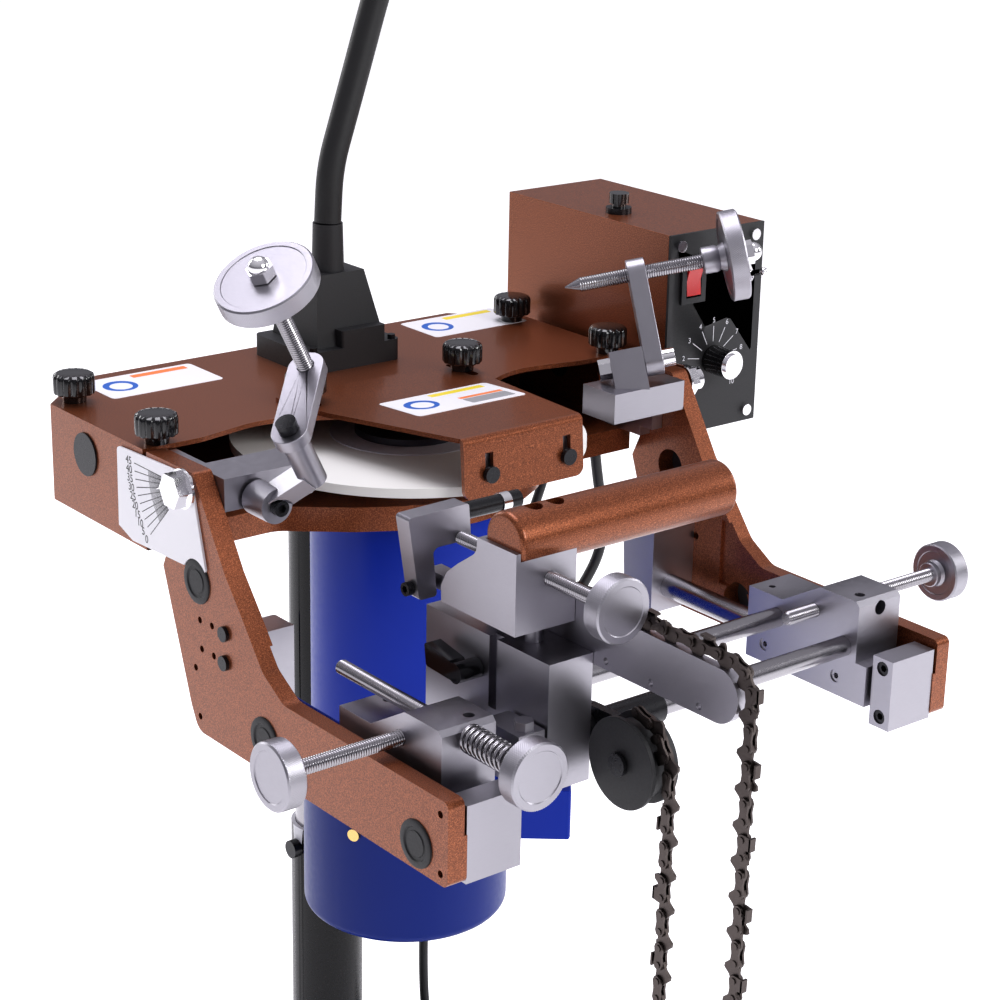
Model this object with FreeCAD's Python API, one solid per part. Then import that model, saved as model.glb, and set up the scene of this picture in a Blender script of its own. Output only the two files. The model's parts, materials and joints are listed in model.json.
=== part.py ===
import FreeCAD, Part
import math
import os

# Bench grinder for square-ground saw chain: a horizontal stone under a tilting head, on a post.
# Millimetres.  +X is the operator's right, -Y the operator's side, +Z up.
# Heights below are counted from the top face of the cover, and x = 0 is the plane of symmetry.
# Every part is moved at the end so that the origin is the middle of the base, on the bench.

V = FreeCAD.Vector
os.makedirs("parts", exist_ok=True)

COVER_TOP = 620.0        # height of the cover above the bench
POST_Y = 139.8           # column axis
STONE_Y = 45.0           # motor and stone axis
PIVOT_Z = -10.0          # the arms tilt about the line y = 0 at this height

PLATE = 12.7             # half-inch plate of the side arms
ARM_OUT = 191.8
ARM_IN = ARM_OUT - PLATE
HEAD_OUT = 191.5         # outer face of the head, 0.3 inside the arms' face
HEAD_IN = 178.8
HEAD_REAR = 203.0
HEAD_SIDE_END = 163.0
REAR_CORNER_X = 150.0

PLATE_TOP = -47.0        # motor plate
PLATE_BOTTOM = -63.0
WALL = 6.0
COVER = 3.0

SHAFT_R = 6.35           # half-inch cross shafts
SHAFT_Z = -117.0
SHAFT_YS = (-156.0, -213.7)
RAIL_R = 7.94            # five-eighths rails
RAIL_X = 158.3
RAIL_Z = -138.0
FREE = 0.06              # running fit, radial

STONE_R = 114.3
MOTOR_R = 63.5
COLUMN_R = 25.4


# ---------------------------------------------------------------- helpers

def box(x0, x1, y0, y1, z0, z1):
    return Part.makeBox(x1 - x0, y1 - y0, z1 - z0, V(x0, y0, z0))


def axis_point(axis, along, a, b):
    """Point from a distance along an axis and the two other coordinates in xyz order."""
    return {"x": V(along, a, b), "y": V(a, along, b), "z": V(a, b, along)}[axis]


AXES = {"x": V(1, 0, 0), "y": V(0, 1, 0), "z": V(0, 0, 1)}


def cyl(axis, a, b, start, end, r):
    return Part.makeCylinder(r, end - start, axis_point(axis, start, a, b), AXES[axis])


def cone(axis, a, b, start, end, r0, r1):
    return Part.makeCone(r0, r1, end - start, axis_point(axis, start, a, b), AXES[axis])


def hexagon(axis, a, b, start, end, across):
    r = across / math.sqrt(3.0)
    pts = [(a + r * math.cos(math.radians(60 * i)), b + r * math.sin(math.radians(60 * i)))
           for i in range(6)]
    return profile(axis, pts, start, end)


def cut(shape, *tools):
    for tool in tools:
        shape = shape.cut(tool)
    return shape


def fuse(first, *others):
    for other in others:
        first = first.fuse(other)
    return first.removeSplitter()


def group(*solids):
    return Part.makeCompound(list(solids))


def mirrored(shape):
    return shape.mirror(V(0, 0, 0), V(1, 0, 0))


def both_sides(shape):
    return group(shape, mirrored(shape))


def profile(axis, corners, start, end):
    """Prism along an axis.  A corner is (a, b) or (a, b, radius)."""
    count = len(corners)
    ends = []
    for i, corner in enumerate(corners):
        p = axis_point(axis, start, corner[0], corner[1])
        radius = corner[2] if len(corner) > 2 else 0.0
        if not radius:
            ends.append((p, p, None))
            continue
        before, after = corners[i - 1], corners[(i + 1) % count]
        to_before = axis_point(axis, start, before[0], before[1]).sub(p).normalize()
        to_after = axis_point(axis, start, after[0], after[1]).sub(p).normalize()
        half = to_before.getAngle(to_after) / 2.0
        middle = to_before.add(to_after).normalize()
        run = radius / math.tan(half)
        near = p.add(middle.multiply(radius / math.sin(half) - radius))
        ends.append((p.add(to_before.multiply(run)), p.add(to_after.multiply(run)), near))
    edges = []
    for i, (first, last, near) in enumerate(ends):
        if near is not None:
            edges.append(Part.Arc(first, near, last).toShape())
        following = ends[(i + 1) % count][0]
        if last.distanceToPoint(following) > 1e-6:
            edges.append(Part.LineSegment(last, following).toShape())
    face = Part.Face(Part.Wire(edges))
    return face.extrude(V(*AXES[axis]).multiply(end - start))


def bar(p, q, r):
    """Round bar between two points."""
    return Part.makeCylinder(r, q.sub(p).Length, p, q.sub(p))


def placed(shape, origin, along, across):
    """Move a shape so its local Z lies along one direction and its local X near another."""
    turned = shape.copy()
    side = along.cross(across)
    turned.Placement = FreeCAD.Placement(origin, FreeCAD.Rotation(across, side, along, "ZXY"))
    return turned


def socket_screw(axis, a, b, face, out, shank, r=3.0):
    """Cap screw with its head outside a face; out is +1 or -1, shank the length in the metal."""
    head = cyl(axis, a, b, *sorted((face, face + out * r * 1.7)), r * 1.6)
    far = face + out * r * 1.7
    socket = hexagon(axis, a, b, *sorted((far, far - out * r)), r * 1.6)
    body = cyl(axis, a, b, *sorted((face, face - out * shank)), r)
    return fuse(cut(head, socket), body)


def stop_screw(rod_r, rod_len, knob_r, knob_len, hub_r=0.0, hub_len=0.0, point=False):
    """Threaded rod from its tip at the local origin along local Z, with a round knob fixed on it."""
    tip = 2.0 * rod_r if point else 1.0
    shape = Part.makeCone(0.6 if point else rod_r - 1.0, rod_r, tip)
    shape = shape.fuse(Part.makeCylinder(rod_r, rod_len - tip, V(0, 0, tip)))
    knob = Part.makeCylinder(knob_r, knob_len, V(0, 0, rod_len + hub_len))
    rims = [edge for edge in knob.Edges if edge.Closed and len(edge.Vertexes) == 1]
    shape = shape.fuse(knob.makeChamfer(0.8, rims))
    if hub_len:
        shape = shape.fuse(Part.makeCylinder(hub_r, hub_len, V(0, 0, rod_len)))
    return shape.removeSplitter()


def routed_tube(points, r):
    """Cord of round section: straight runs joined by tangent arcs."""
    pts = [V(*p) for p in points]
    edges = []
    start = pts[0]
    for i in range(1, len(pts) - 1):
        back = pts[i - 1].sub(pts[i])
        ahead = pts[i + 1].sub(pts[i])
        turn = math.pi - back.getAngle(ahead)
        run = 0.45 * min(back.Length, ahead.Length)
        bend = run / math.tan(turn / 2.0)
        print("cord bend radius", round(bend, 1), "turn", round(math.degrees(turn), 1))
        back.normalize()
        ahead.normalize()
        first = pts[i].add(V(back).multiply(run))
        last = pts[i].add(V(ahead).multiply(run))
        inward = back.add(ahead).normalize()
        middle = pts[i].add(inward.multiply(bend / math.cos(turn / 2.0) - bend))
        edges.append(Part.LineSegment(start, first).toShape())
        edges.append(Part.Arc(first, middle, last).toShape())
        start = last
    edges.append(Part.LineSegment(start, pts[-1]).toShape())
    path = Part.Wire(edges)
    section = Part.Wire(Part.Circle(pts[0], pts[1].sub(pts[0]), r).toShape())
    tube = path.makePipeShell([section], True, True)
    print("cord length", round(path.Length, 1), "volume ratio",
          round(tube.Volume / (path.Length * math.pi * r * r), 4))
    return tube


nodes = {}


# ---------------------------------------------------------------- base and column

BENCH = -COVER_TOP
BASE = 260.0
BASE_T = 12.0
BOLT_PITCH = 210.0
TUBE_WALL = 3.0
LOWER_TUBE_TOP = -335.0
SLEEVE_BOTTOM = -305.0

h = BASE / 2.0
plan = [(x, POST_Y + y, 15.0) for x, y in ((-h, -h), (h, -h), (h, h), (-h, h))]
base = profile("z", plan, BENCH, BENCH + BASE_T)
for sx in (-1, 1):
    for sy in (-1, 1):
        hole_x = sx * BOLT_PITCH / 2.0
        hole_y = POST_Y + sy * BOLT_PITCH / 2.0
        base = base.cut(cyl("z", hole_x, hole_y, BENCH - 1, BENCH + BASE_T + 1, 5.5))


def column(start, end, r_out, r_in):
    tube = cyl("z", 0, POST_Y, start, end, r_out)
    return tube.cut(cyl("z", 0, POST_Y, start - 1, end + 1, r_in))


CLAMP_SCREWS = (LOWER_TUBE_TOP - 16.0, SLEEVE_BOTTOM + 16.0)
inner_r = COLUMN_R - TUBE_WALL
clamp_holes = [cyl("x", POST_Y, z, -COLUMN_R - 2, -inner_r + 3, 4.0) for z in CLAMP_SCREWS]
lower_tube = column(BENCH + BASE_T, LOWER_TUBE_TOP, COLUMN_R, inner_r)
sleeve = column(SLEEVE_BOTTOM, PLATE_BOTTOM, COLUMN_R, inner_r)
nodes["pedestal"] = base.fuse(cut(lower_tube, *clamp_holes)).removeSplitter()
nodes["column_sleeve"] = cut(sleeve, *clamp_holes)
nodes["column_pipe"] = column(-520.0, -90.0, inner_r - 0.1, inner_r - 4.0)


# ---------------------------------------------------------------- head: plate, wall, cover

REAR_CORNERS = [(HEAD_OUT, HEAD_SIDE_END), (REAR_CORNER_X, HEAD_REAR),
                (-REAR_CORNER_X, HEAD_REAR), (-HEAD_OUT, HEAD_SIDE_END)]


def pivot_disc(r, x0, x1):
    return cyl("x", 0, PIVOT_Z, x0, x1, r)


PLATE_FRONT = 32.0
NOSE_R = 72.0
ARM_SWEEP_R = 71.0       # the lower rear edge of an arm swings inside this radius
WALL_FRONT_R = 51.5

front = [(-HEAD_OUT, PLATE_FRONT), (-110, PLATE_FRONT, 20), (-72, 2, 18), (-44, -14),
         (44, -14), (72, 2, 18), (110, PLATE_FRONT, 20), (HEAD_OUT, PLATE_FRONT)]
motor_plate = profile("z", front + REAR_CORNERS, PLATE_BOTTOM, PLATE_TOP)
motor_plate = motor_plate.fuse(cyl("z", 0, STONE_Y, PLATE_BOTTOM, PLATE_TOP, NOSE_R))
for x0, x1 in ((-200, -HEAD_IN), (HEAD_IN, 200)):
    motor_plate = motor_plate.cut(pivot_disc(ARM_SWEEP_R, x0, x1))
motor_plate = motor_plate.cut(cyl("z", 0, STONE_Y, PLATE_BOTTOM - 1, PLATE_TOP + 1, 20.0))
nodes["motor_plate"] = motor_plate.removeSplitter()

outer_plan = [(-HEAD_OUT, 20.0), (HEAD_OUT, 20.0)] + REAR_CORNERS
bevel = WALL * math.tan(math.radians(22.0))
inner_plan = [(-HEAD_OUT + WALL, 0.0), (HEAD_OUT - WALL, 0.0),
              (HEAD_OUT - WALL, HEAD_SIDE_END - bevel), (REAR_CORNER_X - bevel, HEAD_REAR - WALL),
              (-REAR_CORNER_X + bevel, HEAD_REAR - WALL), (-HEAD_OUT + WALL, HEAD_SIDE_END - bevel)]
wall = profile("z", outer_plan, PLATE_TOP, -COVER)
wall = wall.cut(profile("z", inner_plan, PLATE_TOP - 1, 1))
wall = wall.cut(pivot_disc(WALL_FRONT_R, -200, 200))
PLUG_R = 13.7
HEAD_PLUG = (118.9, -21.4)
wall = wall.cut(cyl("x", *HEAD_PLUG, -200, 200, PLUG_R - 2.0))

KNOB_SPOTS = [(-177.5, 57.0), (177.5, 57.0), (-176.0, 160.0), (176.0, 160.0)]
GUARD_KNOBS = [(-62.0, 70.0), (62.0, 70.0)]
KNOB_R = 13.2
STEM_R = 3.0

cover_front = [(-HEAD_OUT, 50.0), (-150, 50, 30), (-98, 61, 60), (-55, 40, 25), (-35, 32),
               (35, 32), (55, 40, 25), (98, 61, 60), (150, 50, 30), (HEAD_OUT, 50.0)]
cover = profile("z", cover_front + REAR_CORNERS, -COVER, 0.0)
for x, y in KNOB_SPOTS + GUARD_KNOBS:
    cover = cover.cut(cyl("z", x, y, -COVER - 1, 1, STEM_R))
nodes["cover_plate"] = cover


def thumb_knob(x, y, z):
    """Fluted clamping knob whose stem runs down from its seat at height z."""
    skirt = cyl("z", x, y, z, z + 5.0, 8.0)
    head = cyl("z", x, y, z + 5.0, z + 19.0, KNOB_R)
    rims = [edge for edge in head.Edges if edge.Closed and len(edge.Vertexes) == 1]
    return fuse(head.makeFillet(2.0, rims), skirt)


stems = [cyl("z", x, y, -20.0, 0.0, STEM_R) for x, y in KNOB_SPOTS]
corner_knobs = [fuse(thumb_knob(x, y, 0.0), stem) for (x, y), stem in zip(KNOB_SPOTS, stems)]
standoffs = [cut(hexagon("z", x, y, PLATE_TOP, -COVER, 12.0), stem)
             for (x, y), stem in zip(KNOB_SPOTS, stems)]
nodes["head_wall"] = group(wall, *standoffs)


# ---------------------------------------------------------------- stone guard

GUARD_T = 3.0
GUARD_Z = 0.2
BEND_Y = 40.0
LIP_Y = -71.5
LIP_TOP = 11.0
LIP_BOTTOM = -27.0
REAR_HALF, LIP_HALF = 74.0, 46.0
GUARD_TRAVEL = 12.0

side_view = [(86, GUARD_Z), (86, GUARD_Z + GUARD_T), (BEND_Y, GUARD_Z + GUARD_T),
             (LIP_Y, LIP_TOP, 4), (LIP_Y - 3, LIP_BOTTOM), (LIP_Y, LIP_BOTTOM),
             (LIP_Y + 3, LIP_TOP - GUARD_T, 1), (BEND_Y, GUARD_Z)]
guard = profile("x", side_view, -REAR_HALF, REAR_HALF)
taper = [(-REAR_HALF, 90), (-REAR_HALF, 80), (-LIP_HALF, LIP_Y + 2), (-LIP_HALF, LIP_Y - 10),
         (LIP_HALF, LIP_Y - 10), (LIP_HALF, LIP_Y + 2), (REAR_HALF, 80), (REAR_HALF, 90)]
guard = guard.common(profile("z", taper, -40, 20))
lip_corners = [(-LIP_HALF, 30), (-LIP_HALF, LIP_BOTTOM, 6), (LIP_HALF, LIP_BOTTOM, 6),
               (LIP_HALF, 30)]
rear_part = box(-100, 100, LIP_Y + 4, 100, -5, 20)
guard = guard.common(fuse(profile("y", lip_corners, LIP_Y - 6, LIP_Y + 4), rear_part))
for x, y in GUARD_KNOBS:
    slot = fuse(box(x - 3.4, x + 3.4, y - GUARD_TRAVEL, y + GUARD_TRAVEL, -2, 6),
                cyl("z", x, y - GUARD_TRAVEL, -2, 6, 3.4), cyl("z", x, y + GUARD_TRAVEL, -2, 6, 3.4))
    guard = guard.cut(slot)
SHIELD_SCREW_XS = (-27.0, 33.0)
SHIELD_SCREW_Z = -13.0
SHIELD_TRAVEL = 8.0
for x in SHIELD_SCREW_XS:
    low, high = SHIELD_SCREW_Z - 2.5, SHIELD_SCREW_Z + SHIELD_TRAVEL + 5.0
    guard = guard.cut(box(x - 3, x + 3, LIP_Y - 8, LIP_Y + 2.9, low, high))
nodes["guard_plate"] = guard

# The two guard knobs stand on the guard with a stem through its slot into the cover.
guard_knobs = [fuse(thumb_knob(x, y, GUARD_Z + GUARD_T + 0.2),
                    cyl("z", x, y, -COVER, GUARD_Z + GUARD_T + 0.2, STEM_R))
               for x, y in GUARD_KNOBS]
nodes["cover_knobs"] = group(*corner_knobs, *guard_knobs)

# Sliding shield behind the lip, held by two button screws through the slots.
shield_face = LIP_Y + 3.2
shield = box(-38, 44, shield_face, shield_face + 1.2, -20.0, -2.0)
button_screws = []
for x in SHIELD_SCREW_XS:
    shank = cyl("y", x, SHIELD_SCREW_Z, LIP_Y - 2.5, shield_face, 2.4)
    button_screws.append(fuse(shank, cyl("y", x, SHIELD_SCREW_Z, LIP_Y - 5.4, LIP_Y - 2.5, 5.2)))
nodes["guard_shield"] = group(shield, *button_screws)


# ---------------------------------------------------------------- pivots of the arms

STUD_R = 6.0
BLOCK_IN, BLOCK_OUT = 118.0, HEAD_IN
LINK_AXIS = V(-158.0, -20.0, -16.0)

block = box(BLOCK_IN, BLOCK_OUT, -20.0, 12.0, -22.0, -2.0)
cheek = box(BLOCK_OUT - 9.0, BLOCK_OUT, 12.0, 48.0, PLATE_TOP, -COVER)
foot = box(BLOCK_OUT - 9.0, BLOCK_OUT, 0.0, 12.0, -40.0, -22.0)
stud_hole = cyl("x", 0, PIVOT_Z, BLOCK_OUT - 30, BLOCK_OUT + 1, STUD_R)
pivot_block = fuse(block, cheek, foot).cut(stud_hole)

arm_face = ARM_OUT + 1.9
stud = cyl("x", 0, PIVOT_Z, BLOCK_OUT - 30, arm_face + 9.0, STUD_R)
washer = cut(cyl("x", 0, PIVOT_Z, arm_face, arm_face + 1.6, 12.0),
             cyl("x", 0, PIVOT_Z, arm_face - 1, arm_face + 9, STUD_R))
acorn = fuse(hexagon("x", 0, PIVOT_Z, arm_face + 1.6, arm_face + 9.0, 19.0),
             cyl("x", 0, PIVOT_Z, arm_face + 9.0, arm_face + 15.0, 8.0)).cut(stud)
hex_nut = hexagon("x", 0, PIVOT_Z, -arm_face - 10.0, -arm_face - 1.6, 19.0)
hex_nut = hex_nut.cut(mirrored(stud))
pointer = profile("x", [(12.2, PIVOT_Z - 3), (12.2, PIVOT_Z + 1), (30.0, PIVOT_Z - 8.5)],
                  -arm_face - 1.2, -arm_face - 0.4)
pivot_hardware = [stud, mirrored(stud), washer, mirrored(washer), acorn, hex_nut, pointer]


# ---------------------------------------------------------------- stone dressers

def eye_bar(length, half_width, thick, bores):
    """Flat bar with round ends in its local XZ plane, bored through near each end."""
    plan = [(-half_width, 0), (half_width, 0), (half_width, length), (-half_width, length)]
    shape = profile("y", plan, 0, thick)
    shape = shape.fuse(cyl("y", 0, 0, 0, thick, half_width))
    shape = shape.fuse(cyl("y", 0, length, 0, thick, half_width))
    return cut(shape.removeSplitter(), *[cyl("y", 0, z, -1, thick + 1, r) for z, r in bores])


ROD_R = 5.0
BOLT_R = 3.0

# Right dresser: an upright stands on the pivot block and carries the arm on a bolt.  The bolt
# and the dressing screw are parallel; local Z is their direction and local X is up the arm.
R_HINGE = V(153.0, -8.0, 12.0)
R_AXIS = V(0.80, -0.566, 0.20).normalize()
R_ARM_T = 12.0
R_REACH = 58.0
UPRIGHT_T = 22.0
r_side = R_AXIS.cross(V(0.038, 0.380, 0.924)).normalize()
r_up = r_side.cross(R_AXIS).normalize()


def on_right(shape, up=0.0):
    """Move a shape from the right dresser's own frame, with its origin some way up the arm."""
    return placed(shape, R_HINGE.add(V(r_up).multiply(up)), R_AXIS, r_up)


upright = Part.makeBox(42.0, 22.0, UPRIGHT_T, V(-32.0, -11.0, -UPRIGHT_T - 0.3))
upright = on_right(upright.cut(cyl("z", 0, 0, -30.0, 5.0, BOLT_R)))
upright = upright.cut(box(100, 200, -60, 60, -60, -2.0))
left_block = mirrored(pivot_block)
left_block = left_block.cut(cyl("y", LINK_AXIS.x, LINK_AXIS.z, -30.0, -4.0, BOLT_R))
nodes["pivot_blocks"] = group(pivot_block, left_block, upright)
right_arm = eye_bar(R_REACH, 10.0, R_ARM_T, ((0, BOLT_R + FREE), (R_REACH, ROD_R + FREE)))
nodes["dresser_arm_right"] = placed(right_arm, R_HINGE, r_up, R_AXIS.cross(r_up))
right_bolt = fuse(cyl("z", 0, 0, -UPRIGHT_T - 8.3, R_ARM_T + 0.3, BOLT_R),
                  cyl("z", 0, 0, R_ARM_T + 0.3, R_ARM_T + 8.3, 6.0),
                  hexagon("z", 0, 0, -UPRIGHT_T - 8.3, -UPRIGHT_T - 0.3, 12.0))
right_bolt = on_right(right_bolt)

DRESSER_KNOB_R = 30.0
DRESSER_KNOB_LEN = 12.0


def dresser_screw(length, hub):
    """Pointed dressing screw with a knurled wheel and an acorn nut on its end."""
    shape = stop_screw(ROD_R, length, DRESSER_KNOB_R, DRESSER_KNOB_LEN, 9.0, hub, point=True)
    nut_base = length + hub + DRESSER_KNOB_LEN
    nut = fuse(hexagon("z", 0, 0, nut_base, nut_base + 7.0, 14.0),
               Part.makeSphere(6.6, V(0, 0, nut_base + 7.0)))
    return fuse(shape, nut)


right_screw = dresser_screw(92.0, 15.0)
right_screw.translate(V(0, 0, -42.0))
nodes["dresser_screw_right"] = on_right(right_screw, R_REACH)

# Left dresser: a link turns on the pivot block's front, and the arm turns on the link.
L_HINGE = V(-158.0, -61.0, 29.0)
L_NORMAL = V(-0.494, -0.145, 0.853).normalize()
L_DOWN = V(-0.63, -0.62, -0.47).normalize()
L_ACROSS = L_NORMAL.cross(L_DOWN).normalize()
L_REACH = 52.0
L_EYE = L_HINGE.sub(V(L_DOWN).multiply(L_REACH))
POST_LEN = 28.0
LINK_T = 10.0
link_eye = V(LINK_AXIS.x, -33.0, LINK_AXIS.z)
link_end = L_HINGE.sub(V(L_NORMAL).multiply(POST_LEN))
run = link_end.sub(link_eye)
link_run = V(run).normalize()
link_side = link_run.cross(L_NORMAL).normalize()
web = Part.makeBox(18.0, LINK_T, run.Length, V(-9.0, -LINK_T / 2, 0))
eye = cyl("y", link_eye.x, link_eye.z, -43.0, -22.0, 10.5)
post_top = L_HINGE.sub(V(L_NORMAL).multiply(0.3))
link_post = bar(link_end.sub(V(L_NORMAL).multiply(5.0)), post_top, 8.0)
link = fuse(placed(web, link_eye, link_run, link_side), eye, link_post)
link = cut(link, cyl("y", link_eye.x, link_eye.z, -50.0, -15.0, BOLT_R + FREE),
           cyl("y", link_eye.x, link_eye.z, -60.0, -43.0, 6.0))
arm_top = L_HINGE.add(V(L_NORMAL).multiply(8.3))
left_bolt = fuse(bar(L_HINGE.sub(V(L_NORMAL).multiply(14.0)), arm_top, BOLT_R),
                 bar(arm_top, arm_top.add(V(L_NORMAL).multiply(6.0)), 6.0))
nodes["dresser_link_left"] = group(link.cut(left_bolt), left_bolt)
link_bolt = socket_screw("y", link_eye.x, link_eye.z, -43.3, -1, 38.0, BOLT_R)
pivot_hardware.append(link_bolt)
nodes["pivot_bolts"] = group(*pivot_hardware, right_bolt)
left_arm = eye_bar(L_REACH, 11.0, 8.0, ((0, ROD_R + FREE), (L_REACH, BOLT_R + FREE)))
nodes["dresser_arm_left"] = placed(left_arm, L_EYE, L_DOWN, L_ACROSS)
nodes["dresser_screw_left"] = placed(dresser_screw(72.0, 7.0), L_EYE.sub(V(L_NORMAL).multiply(14.0)),
                                     L_NORMAL, L_ACROSS)


# ---------------------------------------------------------------- stone and motor

def about_motor(start, end, r):
    return cyl("z", 0, STONE_Y, start, end, r)


STONE_BOTTOM, STONE_TOP = -28.0, -22.0
ARBOR_R = 8.0
SHOULDER_BOTTOM = -38.0
NUT_TOP = -5.0
arbor = about_motor(-200.0, NUT_TOP - 1.0, ARBOR_R)
lower_flange = about_motor(SHOULDER_BOTTOM, STONE_BOTTOM, 34.4)
upper_flange = fuse(about_motor(STONE_TOP + 0.6, STONE_TOP + 5.0, 34.4),
                    cone("z", 0, STONE_Y, STONE_TOP + 5.0, STONE_TOP + 8.0, 34.4, 22.0))
nut = hexagon("z", 0, STONE_Y, STONE_TOP + 8.0, NUT_TOP, 24.0)
arbor_hole = about_motor(-60, 10, ARBOR_R + 0.02)
flanges = [cut(s, arbor_hole) for s in (lower_flange, upper_flange, nut)]
nodes["wheel_arbor"] = group(arbor, *flanges)
stone = about_motor(STONE_BOTTOM, STONE_TOP, STONE_R).cut(arbor_hole)
blotter = about_motor(STONE_TOP, STONE_TOP + 0.6, 50.5).cut(arbor_hole)
nodes["grinding_stone"] = group(stone, blotter)

MOTOR_BOTTOM = -290.0
CUP_R = 69.0
CUP_TOP, CUP_BOTTOM = -258.0, -356.0
motor = about_motor(MOTOR_BOTTOM, PLATE_BOTTOM, MOTOR_R)
motor = motor.cut(about_motor(-205.0, PLATE_BOTTOM + 1, ARBOR_R + 0.5))
nodes["motor_body"] = motor
cup = about_motor(CUP_BOTTOM, CUP_TOP, CUP_R)
bottom_rim = [edge for edge in cup.Edges if edge.BoundBox.ZMax < CUP_BOTTOM + 1 and edge.Closed]
cup = cup.makeFillet(7.0, bottom_rim)
cup = cup.cut(about_motor(CUP_BOTTOM + 3.0, CUP_TOP + 1, CUP_R - 3.0))
cup_lip = about_motor(CUP_TOP - 24.0, CUP_TOP - 14.0, CUP_R - 3.0)
cup_lip = cup_lip.cut(about_motor(CUP_TOP - 25.0, CUP_TOP, MOTOR_R + 0.02))
nodes["motor_cup"] = fuse(cup, cup_lip)

# Terminal box on the motor's front right side.
BOX_DIR = math.radians(-39.0)
terminal = box(CUP_R - 12, CUP_R + 42, -25, 25, -298.0, -262.0)
terminal = terminal.makeFillet(2.0, [e for e in terminal.Edges if e.BoundBox.XMin > CUP_R + 41])
terminal.Placement = FreeCAD.Placement(V(0, STONE_Y, 0),
                                       FreeCAD.Rotation(V(0, 0, 1), math.degrees(BOX_DIR)))
nodes["terminal_box"] = terminal.cut(about_motor(-330.0, -260.0, CUP_R + 0.02))


# ---------------------------------------------------------------- control box

BX0, BX1 = 197.3, 284.1
BY0, BY1 = 20.8, 192.2
BZ0, BZ1 = -56.3, 85.7
SHEET = 2.0
PANEL_Y = 18.8
shell = box(BX0, BX1, BY0, BY1, BZ0, BZ1)
shell = shell.cut(box(BX0 + SHEET, BX1 - SHEET, BY0 - 1, BY1 - SHEET, BZ0 + SHEET, BZ1 - SHEET))
BREAKER = (217.0, 95.0)
shell = shell.cut(cyl("z", *BREAKER, BZ1 - 5, BZ1 + 5, 5.1))
nodes["control_box"] = shell

SPEED = (240.7, -6.0)
ROCKER = (218.5, 53.0)
TOGGLE = (266.0, 50.5)
SPEED_R = 10.0
panel = box(BX0, BX1, PANEL_Y, BY0, BZ0, BZ1)
panel = panel.cut(cyl("y", *SPEED, PANEL_Y - 1, BY0 + 1, 3.1))
panel = panel.cut(cyl("y", *TOGGLE, PANEL_Y - 1, BY0 + 1, 5.0))
panel = panel.cut(box(ROCKER[0] - 8.2, ROCKER[0] + 8.2, PANEL_Y - 1, BY0 + 1,
                      ROCKER[1] - 13.2, ROCKER[1] + 13.2))
bezel = box(ROCKER[0] - 11, ROCKER[0] + 11, PANEL_Y - 2, PANEL_Y, ROCKER[1] - 16, ROCKER[1] + 16)
bezel = bezel.fuse(box(ROCKER[0] - 8.2, ROCKER[0] + 8.2, PANEL_Y, BY0 + 14,
                       ROCKER[1] - 13.2, ROCKER[1] + 13.2))
bezel = bezel.cut(box(ROCKER[0] - 6.8, ROCKER[0] + 6.8, PANEL_Y - 3, BY0 + 11,
                      ROCKER[1] - 11.8, ROCKER[1] + 11.8))
bushing = fuse(cyl("y", *TOGGLE, PANEL_Y - 6, BY0 + 12, 5.0),
               hexagon("y", *TOGGLE, PANEL_Y - 3, PANEL_Y, 14.0))
bushing = bushing.cut(cyl("y", *TOGGLE, PANEL_Y - 7, BY0 + 8, 4.4))
nodes["control_panel"] = group(panel, bezel, bushing)
rocker_side = [(PANEL_Y - 4.6, ROCKER[1] + 10.5), (PANEL_Y - 1.4, ROCKER[1]),
               (PANEL_Y - 2.2, ROCKER[1] - 10.5), (PANEL_Y + 6, ROCKER[1] - 6),
               (PANEL_Y + 6, ROCKER[1] + 6)]
rocker = profile("x", rocker_side, ROCKER[0] - 6.3, ROCKER[0] + 6.3)
rocker_pin = cyl("x", PANEL_Y + 2.2, ROCKER[1], ROCKER[0] - 6.7, ROCKER[0] + 6.7, 2.0)
nodes["power_rocker"] = rocker.fuse(rocker_pin)
knob = fuse(cyl("y", *SPEED, PANEL_Y - 20, PANEL_Y - 0.5, SPEED_R),
            cyl("y", *SPEED, PANEL_Y - 22, PANEL_Y - 20, SPEED_R - 2.0),
            cyl("y", *SPEED, PANEL_Y - 0.5, BY0 + 14, 3.0))
nodes["speed_knob"] = knob
nodes["direction_toggle"] = fuse(
    Part.makeSphere(3.4, V(TOGGLE[0], PANEL_Y - 1, TOGGLE[1])),
    cyl("x", PANEL_Y - 1, TOGGLE[1], TOGGLE[0] - 3.8, TOGGLE[0] + 3.8, 1.5),
    bar(V(TOGGLE[0], PANEL_Y - 1, TOGGLE[1]), V(TOGGLE[0] + 3, PANEL_Y - 17, TOGGLE[1] + 5), 2.0),
    Part.makeSphere(2.8, V(TOGGLE[0] + 3, PANEL_Y - 17, TOGGLE[1] + 5)))
breaker_nut = cyl("z", *BREAKER, BZ1, BZ1 + 4, 9.0)
breaker_nut = breaker_nut.cut(cyl("z", *BREAKER, BZ1 - 1, BZ1 + 5, 5.1))
nodes["breaker_button"] = fuse(cyl("z", *BREAKER, BZ1 - 8, BZ1 + 9, 5.0),
                               cyl("z", *BREAKER, BZ1 + 7, BZ1 + 14, 7.0))


# ---------------------------------------------------------------- work lamp

LAMP = (18.0, 157.0)
LAMP_NECK_R = 9.0
FOOT_TOP = 14.5
LAMP_TOP = 62.0
lamp_foot = profile("z", [(x, y, 5.0) for x, y in ((-24, 123), (50.5, 123), (50.5, 189), (-24, 189))],
                    0.0, FOOT_TOP)
lamp_step = profile("z", [(3, 123, 2), (38, 123, 2), (38, 165), (3, 165)], 0.0, 26.0)


def section(x0, x1, y0, y1, z):
    return Part.Wire(Part.makePolygon([V(x0, y0, z), V(x1, y0, z), V(x1, y1, z), V(x0, y1, z),
                                       V(x0, y0, z)]))


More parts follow.
